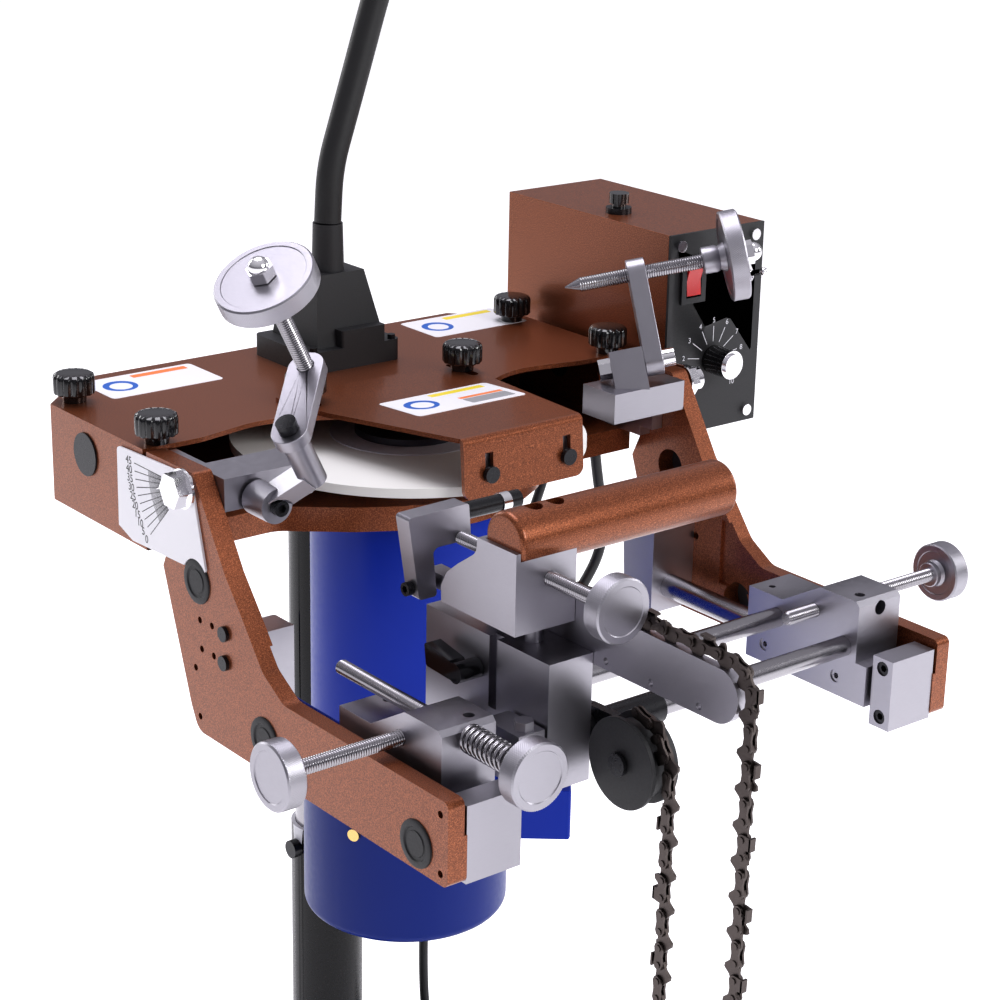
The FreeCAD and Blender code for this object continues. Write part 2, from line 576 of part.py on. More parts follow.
tower = Part.makeLoft([section(-12, 42, 130, 184, FOOT_TOP), section(-8, 30, 137, 176, LAMP_TOP)], True)
LAMP_EXIT = V(10.0, 150.0, 94.0)
boot = cone("z", LAMP_EXIT.x, LAMP_EXIT.y, LAMP_TOP, LAMP_EXIT.z - 0.5, 10.8, 10.0)
nodes["lamp_base"] = fuse(lamp_foot, lamp_step, tower, boot)
LAMP_ROUTE = [(10, 150, 94), (12, 150, 130), (30, 149, 185), (50, 147, 250), (70, 138, 315),
              (86, 110, 370), (90, 60, 405), (88, 5, 405), (82, -40, 370)]
nodes["lamp_neck"] = routed_tube(LAMP_ROUTE, LAMP_NECK_R)
shade = fuse(Part.makeCylinder(14.0, 26.0), Part.makeCone(14.0, 32.0, 40.0, V(0, 0, 26.0)))
shade = shade.cut(fuse(Part.makeCylinder(11.0, 24.0, V(0, 0, 6.0)),
                       Part.makeCone(11.0, 29.6, 40.1, V(0, 0, 26.0))))
bulb = fuse(Part.makeCylinder(11.0, 8.0, V(0, 0, 6.0)), Part.makeSphere(15.0, V(0, 0, 36.0)))
bulb = bulb.fuse(Part.makeCylinder(9.0, 24.0, V(0, 0, 12.0)))
LAMP_AIM = V(*LAMP_ROUTE[-1]).sub(V(*LAMP_ROUTE[-2])).normalize()
nodes["lamp_shade"] = group(*[placed(s, V(*LAMP_ROUTE[-1]), LAMP_AIM, V(1, 0, 0))
                              for s in (shade, bulb)])


# ---------------------------------------------------------------- tilting arms

ARM_FRONT = -251.7
ARM_BOTTOM = -160.5
ARM_DISC_R = 46.0
STUD_FREE = STUD_R + FREE
arm_plan = [(44.9, 0.0), (-7.0, 0.6, 4), (-40.0, -52.0), (-57.5, -73.0), (-78.0, -99.0, 14),
            (-99.0, -111.3, 14), (ARM_FRONT, -111.3, 4), (ARM_FRONT, ARM_BOTTOM, 4),
            (-7.0, ARM_BOTTOM, 10), (0.5, -146.0), (29.0, -66.5), (21.6, -50.6)]
arm = profile("x", arm_plan, -ARM_OUT, -ARM_IN)
upper_round = pivot_disc(ARM_DISC_R, -ARM_OUT, -ARM_IN)
upper_round = upper_round.common(box(-200, -150, 0, 60, -60, 0))
arm = arm.fuse(upper_round).removeSplitter()
arm = arm.cut(pivot_disc(STUD_FREE, -200, -150))
ARM_PLUGS = ((-9.5, -64.8), (-79.3, -139.7), (-224.5, -145.0))
FIXING_HOLES = ((-11.3, -88.4), (-24.5, -87.8), (-12.8, -106.2), (-25.9, -106.2),
                (-5.5, -120.3), (-9.3, -150.5), (-245.0, -119.8), (-245.5, -154.0))
ARM_BUTTONS = ((-38.3, -88.1), (-38.0, -106.4))
for y, z in ARM_PLUGS:
    arm = arm.cut(cyl("x", y, z, -200, -150, PLUG_R - 2.0))
for y, z in FIXING_HOLES:
    arm = arm.cut(cyl("x", y, z, -200, -ARM_OUT + 9.0, 2.1))
for y, z in ARM_BUTTONS:
    arm = arm.cut(cyl("x", y, z, -200, -150, 2.5))
arm = arm.cut(box(-ARM_IN - 2.0, -ARM_IN + 1, ARM_FRONT - 1, -62.0, -132.6, -88.0))
nodes["arm_left"] = arm
nodes["arm_right"] = mirrored(arm)


def hole_plug(y, z, side):
    """Black plug pressed in a hole, with a thin rim on the outer face; side is -1 left, +1 right."""
    face = side * ARM_OUT
    body = cyl("x", y, z, *sorted((face, face - side * 8.0)), PLUG_R - 2.0)
    rim = cyl("x", y, z, *sorted((face, face + side * 1.2)), PLUG_R)
    return body.fuse(rim).removeSplitter()


nodes["arm_plugs"] = group(*[hole_plug(y, z, side) for y, z in ARM_PLUGS for side in (-1, 1)])
head_plug = fuse(cyl("x", *HEAD_PLUG, HEAD_OUT - 5, HEAD_OUT, PLUG_R - 2.0),
                 cyl("x", *HEAD_PLUG, HEAD_OUT, HEAD_OUT + 1.2, PLUG_R))

SCALE_T = 1.5
scale_plan = [(77.3, -4.5, 3), (78.0, -55.0), (61.7, -60.5), (-21.4, -57.0, 3), (-6.3, -1.0, 3)]
scale = profile("x", scale_plan, -ARM_OUT - SCALE_T, -ARM_OUT)
nodes["scale_plate"] = cut(scale, pivot_disc(STUD_FREE + 0.5, -200, -180),
                           cyl("x", *ARM_PLUGS[0], -200, -180, PLUG_R + 0.2))

BLOCK_X0 = 142.6
FRONT_Y0, FRONT_Y1 = -251.1, -235.1
REAR_Y0, REAR_Y1 = -36.0, -5.0
front_block = box(BLOCK_X0, ARM_IN, FRONT_Y0, FRONT_Y1, -161.7, -116.5)
rear_plan = [(REAR_Y0, -155.0), (REAR_Y1 - 4, -155.0, 8), (REAR_Y1, -95.0, 12), (REAR_Y0, -95.0)]
rear_block = profile("x", rear_plan, BLOCK_X0, ARM_IN)
rail = cyl("y", RAIL_X, RAIL_Z, FRONT_Y0 + 0.5, REAR_Y0 + 20.0, RAIL_R)
BLOCK_SCREW_X = 147.5
block_screw_zs = (-123.0, -154.5)
screw_sockets = [cyl("x", -243.1, z, BLOCK_X0 - 1, BLOCK_X0 + 5, 4.5) for z in block_screw_zs]
nodes["rail_blocks"] = group(*[s for block_ in (cut(front_block, rail, *screw_sockets),
                                                cut(rear_block, rail))
                               for s in (block_, mirrored(block_))])
nodes["slide_rails"] = both_sides(rail)
block_screws = [cut(cyl("x", -243.1, z, BLOCK_X0 + 1, BLOCK_X0 + 5, 4.5),
                    hexagon("x", -243.1, z, BLOCK_X0, BLOCK_X0 + 4, 4.0)) for z in block_screw_zs]
buttons = [fuse(cyl("x", y, z, ARM_OUT - 8, ARM_OUT, 2.5), cyl("x", y, z, ARM_OUT, ARM_OUT + 2.2, 4.6))
           for y, z in ARM_BUTTONS]
nodes["arm_screws"] = group(*[s for screw in block_screws + buttons
                              for s in (screw, mirrored(screw))])


# ---------------------------------------------------------------- carriages and cross shafts

CAR_IN, CAR_OUT = 139.4, 175.5
CAR_FRONT, CAR_REAR = -224.0, -130.3
CAR_BOTTOM = -151.0
X_STOP = (-187.0, -102.3)
Y_STOP = (158.0, -93.0)
STOP_R = 4.5
car_plan = [(CAR_FRONT, CAR_BOTTOM), (CAR_FRONT, -89.0), (CAR_FRONT + 3, -86.0), (-191.0, -86.0),
            (-160.0, -104.0), (CAR_REAR, -104.0), (CAR_REAR, CAR_BOTTOM)]
carriage = profile("x", car_plan, CAR_IN, CAR_OUT)
carriage = carriage.cut(cyl("y", RAIL_X, RAIL_Z, -300, 0, RAIL_R + FREE))
for y in SHAFT_YS:
    carriage = carriage.cut(cyl("x", y, SHAFT_Z, CAR_IN - 1, CAR_OUT - 6, SHAFT_R))
carriage = carriage.cut(cyl("x", *X_STOP, CAR_IN - 1, CAR_OUT + 1, STOP_R + FREE))
carriage = carriage.cut(cyl("y", Y_STOP[0], Y_STOP[1], -230, -100, STOP_R + FREE))
carriage = carriage.cut(cyl("z", 150.0, -214.0, -96, -80, 3.2))
carriage = carriage.cut(cyl("z", 150.0, -140.0, -112, -100, 2.2))
SET_SCREWS = ((-146.0, -139.0), (-208.0, -139.0))
for y, z in SET_SCREWS:
    carriage = carriage.cut(cyl("x", y, z, CAR_IN - 1, CAR_IN + 8, 4.0))
nodes["carriage_right"] = carriage
nodes["carriage_left"] = mirrored(carriage)
shaft_end = CAR_OUT - 6
nodes["cross_shafts"] = group(*[cyl("x", y, SHAFT_Z, -shaft_end, shaft_end, SHAFT_R)
                                for y in SHAFT_YS])
wiper = box(CAR_IN, CAR_OUT, CAR_FRONT - 9.0, CAR_FRONT, CAR_BOTTOM, -125.0)
wiper = wiper.cut(cyl("y", RAIL_X, RAIL_Z, -300, 0, RAIL_R + FREE))
COLLAR_X0, COLLAR_X1 = -130.0, -112.0
collar = box(COLLAR_X0, COLLAR_X1, -232.0, -201.0, -128.0, -98.0)
collar = collar.cut(cyl("x", SHAFT_YS[1], SHAFT_Z, -140, -100, SHAFT_R))
collar = collar.cut(box(COLLAR_X0 - 1, COLLAR_X1 + 1, -240, -213.7, -107.5, -105.5))
set_screws = [cut(cyl("x", y, z, CAR_IN + 1, CAR_IN + 8, 4.0),
                  hexagon("x", y, z, CAR_IN, CAR_IN + 4, 3.5)) for y, z in SET_SCREWS]
collar_bolt = hexagon("z", -121.0, -225.0, -98.0, -92.5, 10.0)
nodes["carriage_fittings"] = group(wiper, mirrored(wiper), collar, collar_bolt,
                                   *[s for screw in set_screws for s in (screw, mirrored(screw))])

KNOB_LEN = 12.0
STOP_KNOB_R = 19.05     # inch and a half
x_stop = stop_screw(STOP_R, 104.0, STOP_KNOB_R, KNOB_LEN, 8.0, 6.0)
x_stop_long = stop_screw(STOP_R, 128.0, STOP_KNOB_R, KNOB_LEN, 8.0, 6.0)
nodes["x_stop_left"] = placed(x_stop, V(-137.0, *X_STOP), V(-1, 0, 0), V(0, 0, 1))
nodes["x_stop_right"] = placed(x_stop_long, V(115.0, *X_STOP), V(1, 0, 0), V(0, 0, 1))
Y_TIP = -106.5
y_rod = stop_screw(STOP_R, 166.0, STOP_KNOB_R, KNOB_LEN)
y_screw = placed(y_rod, V(-Y_STOP[0], Y_TIP, Y_STOP[1]), V(0, -1, 0), V(1, 0, 0))
SPRING_R, WIRE_R = 7.2, 1.1
helix = Part.makeHelix(4.0, 46.0, SPRING_R)
ring_wire = Part.Wire(Part.Circle(V(SPRING_R, 0, 0), V(0, 1, 0), WIRE_R).toShape())
spring = Part.Wire(helix.Edges).makePipeShell([ring_wire], True, True)
spring = placed(spring, V(-Y_STOP[0], CAR_FRONT - 1.4, Y_STOP[1]), V(0, -1, 0), V(1, 0, 0))
nodes["y_stop"] = group(y_screw, spring)


# ---------------------------------------------------------------- chain vise

VX0, VX1 = -110.6, -80.0
V_FRONT, V_REAR = -232.6, -123.3
V_TOP, V_BOTTOM = -61.0, -136.5
lower = box(VX0, VX1, V_FRONT, V_REAR, V_BOTTOM, V_TOP)
for y in SHAFT_YS:
    lower = lower.cut(cyl("x", y, SHAFT_Z, VX0 - 1, VX1 + 1, SHAFT_R + FREE))
GUIDE_R = 5.0
GUIDES = ((-95.0, -200.0), (-95.0, -166.0))
for x, y in GUIDES:
    lower = lower.cut(cyl("z", x, y, -104.0, V_TOP + 1, GUIDE_R + FREE))
LEVER = (-171.0, -83.0)
lower = lower.cut(cyl("x", *LEVER, VX0 - 1, -98.0, 3.1))
lower = lower.cut(box(VX0 - 1, VX0 + 5, -188.0, -181.0, -103.0, V_TOP + 1))
nodes["vise_lower_block"] = lower

TX0 = -121.8
T_BOTTOM, T_TOP = -47.7, -0.8
top_plan = [(-216.5, T_BOTTOM), (-216.5, T_TOP), (-183.0, T_TOP), (-182.0, -10.0, 8),
            (-166.0, -21.0), (-156.0, -29.0, 6), (-151.0, -38.5), (-151.5, T_BOTTOM)]
top = profile("x", top_plan, TX0, VX1)
HANDLE = (-202.0, 2.0)
HANDLE_R = 16.3
HANDLE_START = TX0 + 3.0
top = top.cut(cyl("x", *HANDLE, HANDLE_START, VX1 + 1, HANDLE_R + 0.02))
ADJ_X, ADJ_Z, ADJ_R = -98.2, -19.0, 4.2
top = top.cut(cyl("y", ADJ_X, ADJ_Z, -230, -140, ADJ_R + FREE))
guides = [cyl("z", x, y, -103.0, T_BOTTOM, GUIDE_R) for x, y in GUIDES]
PAWL_HINGE = (-131.0, -45.0)
lug = box(-112.0, -101.0, -151.6, -124.0, -47.7, -38.5)
lug = lug.cut(cyl("x", *PAWL_HINGE, -120, -90, 2.5 + FREE))
nodes["vise_top_block"] = fuse(top, *guides, lug)
handle = cyl("x", *HANDLE, HANDLE_START, 38.0, HANDLE_R)
ends = [edge for edge in handle.Edges if edge.Closed and len(edge.Vertexes) == 1]
handle = handle.makeFillet(3.0, ends)
for x in (-99.0, -84.0):
    handle = handle.cut(cyl("z", x, HANDLE[0], HANDLE[1] + 2, HANDLE[1] + 20, 5.0))
nodes["lift_handle"] = handle

BAR_X0, BAR_X1 = -79.8, -74.0
BAR_TOP, BAR_BOTTOM = -34.0, -68.0
bar_plan = [(-150.0, BAR_BOTTOM, 10), (-150.0, BAR_TOP, 10), (-344.0, BAR_TOP - 3, 14),
            (-344.0, BAR_BOTTOM + 1, 16)]
chain_bar = profile("x", bar_plan, BAR_X0, BAR_X1)
for y in (-243.0, -279.0, -316.0):
    chain_bar = chain_bar.cut(cyl("x", y, -62.5, BAR_X0 - 1, BAR_X1 + 1, 2.0))
nodes["guide_bar"] = chain_bar

# Saw chain under work, as a plain band; its cutters stand out from the loop and its tangs inwards.
CHAIN_X0, CHAIN_X1 = -79.9, -73.9
CHAIN_INSIDE, CHAIN_OUTSIDE = 3.5, 7.0
STRAND_FRONT, STRAND_REAR = -351.5, -293.5
LOOP_Z = -560.0
LOOP_MID = (STRAND_FRONT + STRAND_REAR) / 2.0
LOOP_R = (STRAND_REAR - STRAND_FRONT) / 2.0
ROLLER = (-264.3, -113.3)
ROLLER_R = 25.0


def band(y0, y1, z0, z1):
    return box(CHAIN_X0, CHAIN_X1, y0, y1, z0, z1)


def band_bend(y, z, r_in, r_out, y_side, z_side):
    """Quarter bend of the chain about (y, z); the sides say which quarter is kept."""
    ring = cyl("x", y, z, CHAIN_X0, CHAIN_X1, r_out)
    ring = ring.cut(cyl("x", y, z, CHAIN_X0 - 1, CHAIN_X1 + 1, r_in))
    reach = r_out + 1.0
    y_edges = sorted((y, y + y_side * reach))
    z_edges = sorted((z, z + z_side * reach))
    return ring.common(box(CHAIN_X0 - 1, CHAIN_X1 + 1, *y_edges, *z_edges))


top_z = BAR_TOP + CHAIN_INSIDE + 0.3
nose = 16.0
wrap = ROLLER[0] - STRAND_REAR
chain_bits = [
    band(STRAND_FRONT + nose, -150.0, top_z - CHAIN_INSIDE, top_z + CHAIN_OUTSIDE),
    band_bend(STRAND_FRONT + nose, top_z - nose, nose - CHAIN_INSIDE, nose + CHAIN_OUTSIDE, -1, 1),
    band(STRAND_FRONT - CHAIN_OUTSIDE, STRAND_FRONT + CHAIN_INSIDE, LOOP_Z, top_z - nose),
    band_bend(LOOP_MID, LOOP_Z, LOOP_R - CHAIN_INSIDE, LOOP_R + CHAIN_OUTSIDE, -1, -1),
    band_bend(LOOP_MID, LOOP_Z, LOOP_R - CHAIN_INSIDE, LOOP_R + CHAIN_OUTSIDE, 1, -1),
    band(STRAND_REAR - CHAIN_INSIDE, STRAND_REAR + CHAIN_OUTSIDE, LOOP_Z, ROLLER[1]),
    band_bend(*ROLLER, wrap - CHAIN_OUTSIDE, wrap + CHAIN_INSIDE, -1, 1)]
nodes["saw_chain"] = fuse(*chain_bits)

axle_r = 4.0
wheel = fuse(cyl("x", *ROLLER, -86.0, -83.0, ROLLER_R + 1.0),
             cyl("x", *ROLLER, -83.0, -71.0, ROLLER_R - 3.0),
             cyl("x", *ROLLER, -71.0, -67.0, ROLLER_R + 1.0))
nodes["idler_roller"] = wheel.cut(cyl("x", *ROLLER, -90, -60, axle_r + FREE))
hanger = profile("x", [(-279.0, -127.0, 13), (-279.0, -100.0, 13), (-200.0, -103.0, 13),
                       (-200.0, -131.0, 13)], -65.0, -59.0)
hanger = hanger.cut(cyl("x", SHAFT_YS[1], SHAFT_Z, -70, -50, 9.5))
axle = fuse(cyl("x", *ROLLER, -87.0, -59.0, axle_r), cyl("x", *ROLLER, -89.0, -86.6, 6.5))
hanger = hanger.cut(axle)
bush = cyl("x", SHAFT_YS[1], SHAFT_Z, VX1, -14.0, 9.5)
bush = bush.cut(cyl("x", SHAFT_YS[1], SHAFT_Z, -90, 0, SHAFT_R + FREE))
nodes["roller_hanger"] = group(hanger, axle, bush)

pawl_plan = [(-134.0, -1.2, 2), (-92.0, -0.4, 2), (-90.0, -22.0, 3), (-117.0, -22.0, 4),
             (-113.6, -51.0, 2), (-126.0, -51.0, 2)]
pawl = profile("y", pawl_plan, -137.0, -125.0)
pawl = pawl.cut(cyl("x", *PAWL_HINGE, -140, -110, 2.5))
nodes["pawl_plate"] = pawl
pawl_pin = fuse(cyl("x", -131.0, -7.0, -90.6, -66.0, 5.0),
                cyl("x", -131.0, -7.0, -66.0, -60.0, 5.8),
                cyl("x", -131.0, -7.0, -60.0, -52.0, 5.2))
pawl_bolt = socket_screw("x", *PAWL_HINGE, -127.5, -1, 25.0, 2.5)
nodes["pawl_pins"] = group(pawl_pin, pawl_bolt)
nodes["pawl_adjuster"] = placed(stop_screw(ADJ_R, 127.0, 18.4, KNOB_LEN),
                                V(ADJ_X, -137.5, ADJ_Z), V(0, -1, 0), V(1, 0, 0))

lever = fuse(cyl("x", *LEVER, -127.0, VX0 - 0.4, 6.0), cyl("x", *LEVER, VX0 - 0.4, -101.0, 3.0))
wing = profile("x", [(LEVER[0] + 4, LEVER[1] + 6, 2), (LEVER[0] + 28, LEVER[1] + 10, 2),
                     (LEVER[0] + 26, LEVER[1] - 4, 2), (LEVER[0] + 6, LEVER[1] - 5, 2),
                     (LEVER[0] - 2, LEVER[1] - 5)], -127.0, -117.0)
nodes["clamp_lever"] = fuse(lever, wing)


# ---------------------------------------------------------------- fasteners of the head

fasteners = [cyl("x", y, -25.0, HEAD_OUT, BX0, 8.0) for y in (80.0, 150.0)]
for x in (45.0, -18.0):
    fasteners.append(hexagon("z", x, 126.5, FOOT_TOP, FOOT_TOP + 3.0, 5.0))
for angle in (205.0, 350.0, 120.0):
    out = V(math.cos(math.radians(angle)), math.sin(math.radians(angle)), 0)
    seat = V(0, STONE_Y, -278.0).add(V(out).multiply(CUP_R))
    fasteners.append(bar(seat, seat.add(V(out).multiply(2.6)), 4.2))
for x in (BX0 + 9.0, BX1 - 9.0):
    for z in (BZ0 + 8.0, BZ1 - 8.0):
        fasteners.append(cyl("y", x, z, PANEL_Y - 2.2, PANEL_Y, 4.0))
for z in CLAMP_SCREWS:
    fasteners.append(fuse(cyl("x", POST_Y, z, -COLUMN_R - 6, -COLUMN_R, 6.5),
                          cyl("x", POST_Y, z, -COLUMN_R, -inner_r + 0.1, 4.0)))
nodes["head_fasteners"] = group(*fasteners, breaker_nut, head_plug, mirrored(head_plug))


# ---------------------------------------------------------------- cords

MOTOR_CABLE_R = 4.0
MOTOR_CABLE = [(236, 140, -56.8), (242, 140, -115), (258, 140, -178), (225, 139, -222),
               (170, 137, -268), (107, 125.3, -290), (55.3, 86.45, -290)]
nodes["motor_cable"] = routed_tube(MOTOR_CABLE, MOTOR_CABLE_R)

LEAD_R = 3.5
MAINS_LEAD = [(224, 152, -57.3), (210, 152, -108), (182, 151, -170), (150, 151, -240),
              (120, 151, -318), (99, 152, -400), (97, 154, -480), (102, 156, -550),
              (122, 157, -592), (152, 158, -612), (182, 163, -616.2)]
nodes["mains_lead"] = routed_tube(MAINS_LEAD, LEAD_R)
COIL = (190.0, 120.0)
COIL_R = 40.0
coil = cyl("z", *COIL, BENCH, BENCH + 19.0, COIL_R + 8.0)
nodes["lead_coil"] = coil.cut(cyl("z", *COIL, BENCH - 1, BENCH + 20.0, COIL_R - 8.0))
plug_x = COIL[0] + COIL_R
plug = box(plug_x - 14, plug_x + 14, 44, 77, BENCH, BENCH + 22)
plug = plug.makeFillet(4.0, [e for e in plug.Edges if e.BoundBox.ZLength > 20])
relief = cyl("y", plug_x, BENCH + 8.0, 77, 86.8, 5.0)
nodes["mains_plug"] = fuse(plug, relief)


# ---------------------------------------------------------------- export

for name, shape in nodes.items():
    moved = shape.copy()
    moved.translate(V(0, -POST_Y, COVER_TOP))
    moved.exportStep(f"parts/{name}.step")
print(len(nodes), "nodes")
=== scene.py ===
import json
import math

import bmesh
import bpy
from mathutils import Matrix, Vector


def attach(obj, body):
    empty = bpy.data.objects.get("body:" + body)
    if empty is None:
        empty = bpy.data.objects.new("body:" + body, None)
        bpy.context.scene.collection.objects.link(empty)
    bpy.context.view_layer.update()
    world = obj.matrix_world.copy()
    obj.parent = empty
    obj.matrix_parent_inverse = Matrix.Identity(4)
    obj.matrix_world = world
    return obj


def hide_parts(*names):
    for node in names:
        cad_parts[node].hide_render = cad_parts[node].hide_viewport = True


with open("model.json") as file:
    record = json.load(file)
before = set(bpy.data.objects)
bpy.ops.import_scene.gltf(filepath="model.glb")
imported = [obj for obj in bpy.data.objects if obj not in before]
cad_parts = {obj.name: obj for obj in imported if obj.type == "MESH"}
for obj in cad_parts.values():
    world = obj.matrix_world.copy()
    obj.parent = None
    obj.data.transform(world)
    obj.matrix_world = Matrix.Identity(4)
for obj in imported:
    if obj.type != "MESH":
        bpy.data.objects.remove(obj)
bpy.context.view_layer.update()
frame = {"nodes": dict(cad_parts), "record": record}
scene = bpy.context.scene

# Lengths below are millimetres in the part's own drawing frame: +X to the operator's right, -Y to
# the operator, heights counted from the top face of the cover.  at() turns them into the row frame.
MM = 0.001
POST_Y = 139.8
COVER_TOP = 620.0
STONE_Y = 45.0
SHARP_DEGREES = 30.0
X_DIR, Y_DIR, Z_DIR = Vector((1, 0, 0)), Vector((0, 1, 0)), Vector((0, 0, 1))


def at(x, y, z):
    return Vector((x, y - POST_Y, z + COVER_TOP)) * MM


# ---------------------------------------------------------------- camera

CAMERA_PLACE = Vector((-0.86037, -1.26117, 1.05460))
CAMERA_ROLL = math.radians(1.31)
CAMERA_RIGHT = Vector((0.775, -0.632, 0.0)).normalized()
CAMERA_BACK = Vector((-0.5974, -0.7327, 0.3259)).normalized()

camera_up = CAMERA_BACK.cross(CAMERA_RIGHT)
turned_right = CAMERA_RIGHT * math.cos(CAMERA_ROLL) + camera_up * math.sin(CAMERA_ROLL)
turned_up = CAMERA_BACK.cross(turned_right)
camera_data = bpy.data.cameras.new("camera")
camera_data.lens = 85.26
camera_data.sensor_width = 36.0
camera_data.shift_x = -0.01683
camera_data.shift_y = -0.00363
camera_data.clip_end = 50.0
camera = bpy.data.objects.new("camera", camera_data)
camera_turn = Matrix((turned_right, turned_up, CAMERA_BACK)).transposed().to_4x4()
camera.matrix_world = Matrix.Translation(CAMERA_PLACE) @ camera_turn
scene.collection.objects.link(camera)
scene.camera = camera


# ---------------------------------------------------------------- materials

def new_material(name, color, metallic=0.0, roughness=0.5, coat=0.0, specular=0.5):
    material = bpy.data.materials.new(name)
    material.use_nodes = True
    shader = material.node_tree.nodes["Principled BSDF"]
    shader.inputs["Base Color"].default_value = (*color, 1.0)
    shader.inputs["Metallic"].default_value = metallic
    shader.inputs["Roughness"].default_value = roughness
    shader.inputs["Coat Weight"].default_value = coat
    shader.inputs["Coat Roughness"].default_value = 0.12
    shader.inputs["Specular IOR Level"].default_value = specular
    return material


def noise(material, scale, detail=3.0, stretch=(1.0, 1.0, 1.0)):
    """Noise in the object's own coordinates, stretched along the axes; returns its value socket."""
    tree = material.node_tree
    place = tree.nodes.new("ShaderNodeTexCoord")
    mapping = tree.nodes.new("ShaderNodeMapping")
    mapping.inputs["Scale"].default_value = stretch
    texture = tree.nodes.new("ShaderNodeTexNoise")
    texture.inputs["Scale"].default_value = scale
    texture.inputs["Detail"].default_value = detail
    tree.links.new(place.outputs["Object"], mapping.inputs["Vector"])
    tree.links.new(mapping.outputs["Vector"], texture.inputs["Vector"])
    return texture.outputs["Fac"]


def ramp(material, value, stops):
    """Colour ramp over a value; a stop is (place, colour)."""
    node = material.node_tree.nodes.new("ShaderNodeValToRGB")
    elements = node.color_ramp.elements
    for i, (place, color) in enumerate(stops):
        element = elements[i] if i < 2 else elements.new(place)
        element.position = place
        element.color = (*color, 1.0)
    material.node_tree.links.new(value, node.inputs["Fac"])
    return node.outputs["Color"]


def feed(material, socket, value):
    shader = material.node_tree.nodes["Principled BSDF"]
    material.node_tree.links.new(value, shader.inputs[socket])


def vary_roughness(material, value, low, high):
    remap = material.node_tree.nodes.new("ShaderNodeMapRange")
    remap.inputs["To Min"].default_value = low
    remap.inputs["To Max"].default_value = high
    material.node_tree.links.new(value, remap.inputs["Value"])
    feed(material, "Roughness", remap.outputs["Result"])


def bump(material, value, strength, depth_mm):
    node = material.node_tree.nodes.new("ShaderNodeBump")
    node.inputs["Strength"].default_value = strength
    node.inputs["Distance"].default_value = depth_mm * MM
    material.node_tree.links.new(value, node.inputs["Height"])
    feed(material, "Normal", node.outputs["Normal"])


def copper_vein():
    """Hammered powder coat: fine dark veins in a copper ground."""
    material = new_material("copper_vein", (0.4, 0.12, 0.05), 0.62, 0.36, 0.25)
    vein = noise(material, 1500.0, 3.0)
    tones = [(0.36, (0.13, 0.038, 0.015)), (0.52, (0.23, 0.070, 0.027)), (0.70, (0.40, 0.135, 0.058))]
    feed(material, "Base Color", ramp(material, vein, tones))
    vary_roughness(material, vein, 0.28, 0.42)
    bump(material, noise(material, 1100.0, 2.0), 0.35, 0.15)
    return material


def machined(name, color, low, high, stretch, grain=260.0):
    """Milled or turned metal with a fine directional grain."""
    material = new_material(name, color, 1.0, 0.3)
    grain_value = noise(material, grain, 5.0, stretch)
    vary_roughness(material, grain_value, low, high)
    bump(material, grain_value, 0.12, 0.05)
    return material


def speckled(name, color, roughness, scale, depth_mm, metallic=0.0, coat=0.0, specular=0.5):
    """Plain finish with a fine surface grain."""
    material = new_material(name, color, metallic, roughness, coat, specular)
    value = noise(material, scale, 3.0)
    vary_roughness(material, value, roughness * 0.8, min(1.0, roughness * 1.25))
    bump(material, value, 0.25, depth_mm)
    return material


MATERIALS = {
    "copper_vein": copper_vein(),
    "black_paint": speckled("black_paint", (0.006, 0.006, 0.007), 0.26, 300.0, 0.03, specular=0.3),
    "blue_paint": speckled("blue_paint", (0.0, 0.022, 0.30), 0.36, 250.0, 0.04, specular=0.22),
    # The faint lavender in the aluminium's base colour is a painted reflection of the backdrop.
    "machined_aluminium": machined("machined_aluminium", (0.37, 0.36, 0.395), 0.26, 0.46, (1, 1, 6)),
    "steel": machined("steel", (0.34, 0.33, 0.35), 0.16, 0.30, (1, 1, 1)),
    "chrome_fixings": machined("chrome_fixings", (0.86, 0.85, 0.87), 0.07, 0.14, (1, 1, 1)),
    "black_plastic": speckled("black_plastic", (0.008, 0.008, 0.009), 0.14, 200.0, 0.01, coat=0.6),
    "black_matte": speckled("black_matte", (0.018, 0.018, 0.020), 0.52, 900.0, 0.06),
    "red_plastic": speckled("red_plastic", (0.62, 0.010, 0.012), 0.25, 200.0, 0.01, coat=0.4),
    "stone_white": speckled("stone_white", (0.74, 0.73, 0.71), 0.80, 1400.0, 0.12),
    "chain_steel": machined("chain_steel", (0.10, 0.085, 0.08), 0.30, 0.55, (1, 1, 1), 400.0),
    "black_oxide": speckled("black_oxide", (0.022, 0.022, 0.025), 0.28, 500.0, 0.03, metallic=0.5),
    "cord_black": speckled("cord_black", (0.014, 0.014, 0.015), 0.50, 500.0, 0.04),
    "scale_white": speckled("scale_white", (0.84, 0.83, 0.87), 0.45, 300.0, 0.01),
}
PRINTS_AND_SHADE = {
    "black": speckled("print_black", (0.015, 0.015, 0.017), 0.45, 400.0, 0.005),
    "grey": speckled("print_grey", (0.30, 0.30, 0.32), 0.5, 400.0, 0.005),
    "paper": speckled("label_paper", (0.80, 0.79, 0.82), 0.40, 400.0, 0.005),
    "orange": speckled("print_orange", (0.86, 0.22, 0.06), 0.35, 400.0, 0.005),
    "yellow": speckled("print_yellow", (0.85, 0.68, 0.05), 0.35, 400.0, 0.005),
    "blue": speckled("print_blue", (0.02, 0.12, 0.50), 0.35, 400.0, 0.005),
    "blotter": speckled("blotter_paper", (0.62, 0.62, 0.68), 0.75, 900.0, 0.05),
    # Darker copy of the blue paint: painted shade on the motor cup.
    "painted_shade_blue": speckled("cup_painted_shade", (0.0, 0.014, 0.16), 0.36, 250.0, 0.04, specular=0.22),
    "light": speckled("column_band", (0.62, 0.62, 0.66), 0.4, 300.0, 0.02),
}


# ---------------------------------------------------------------- building pieces

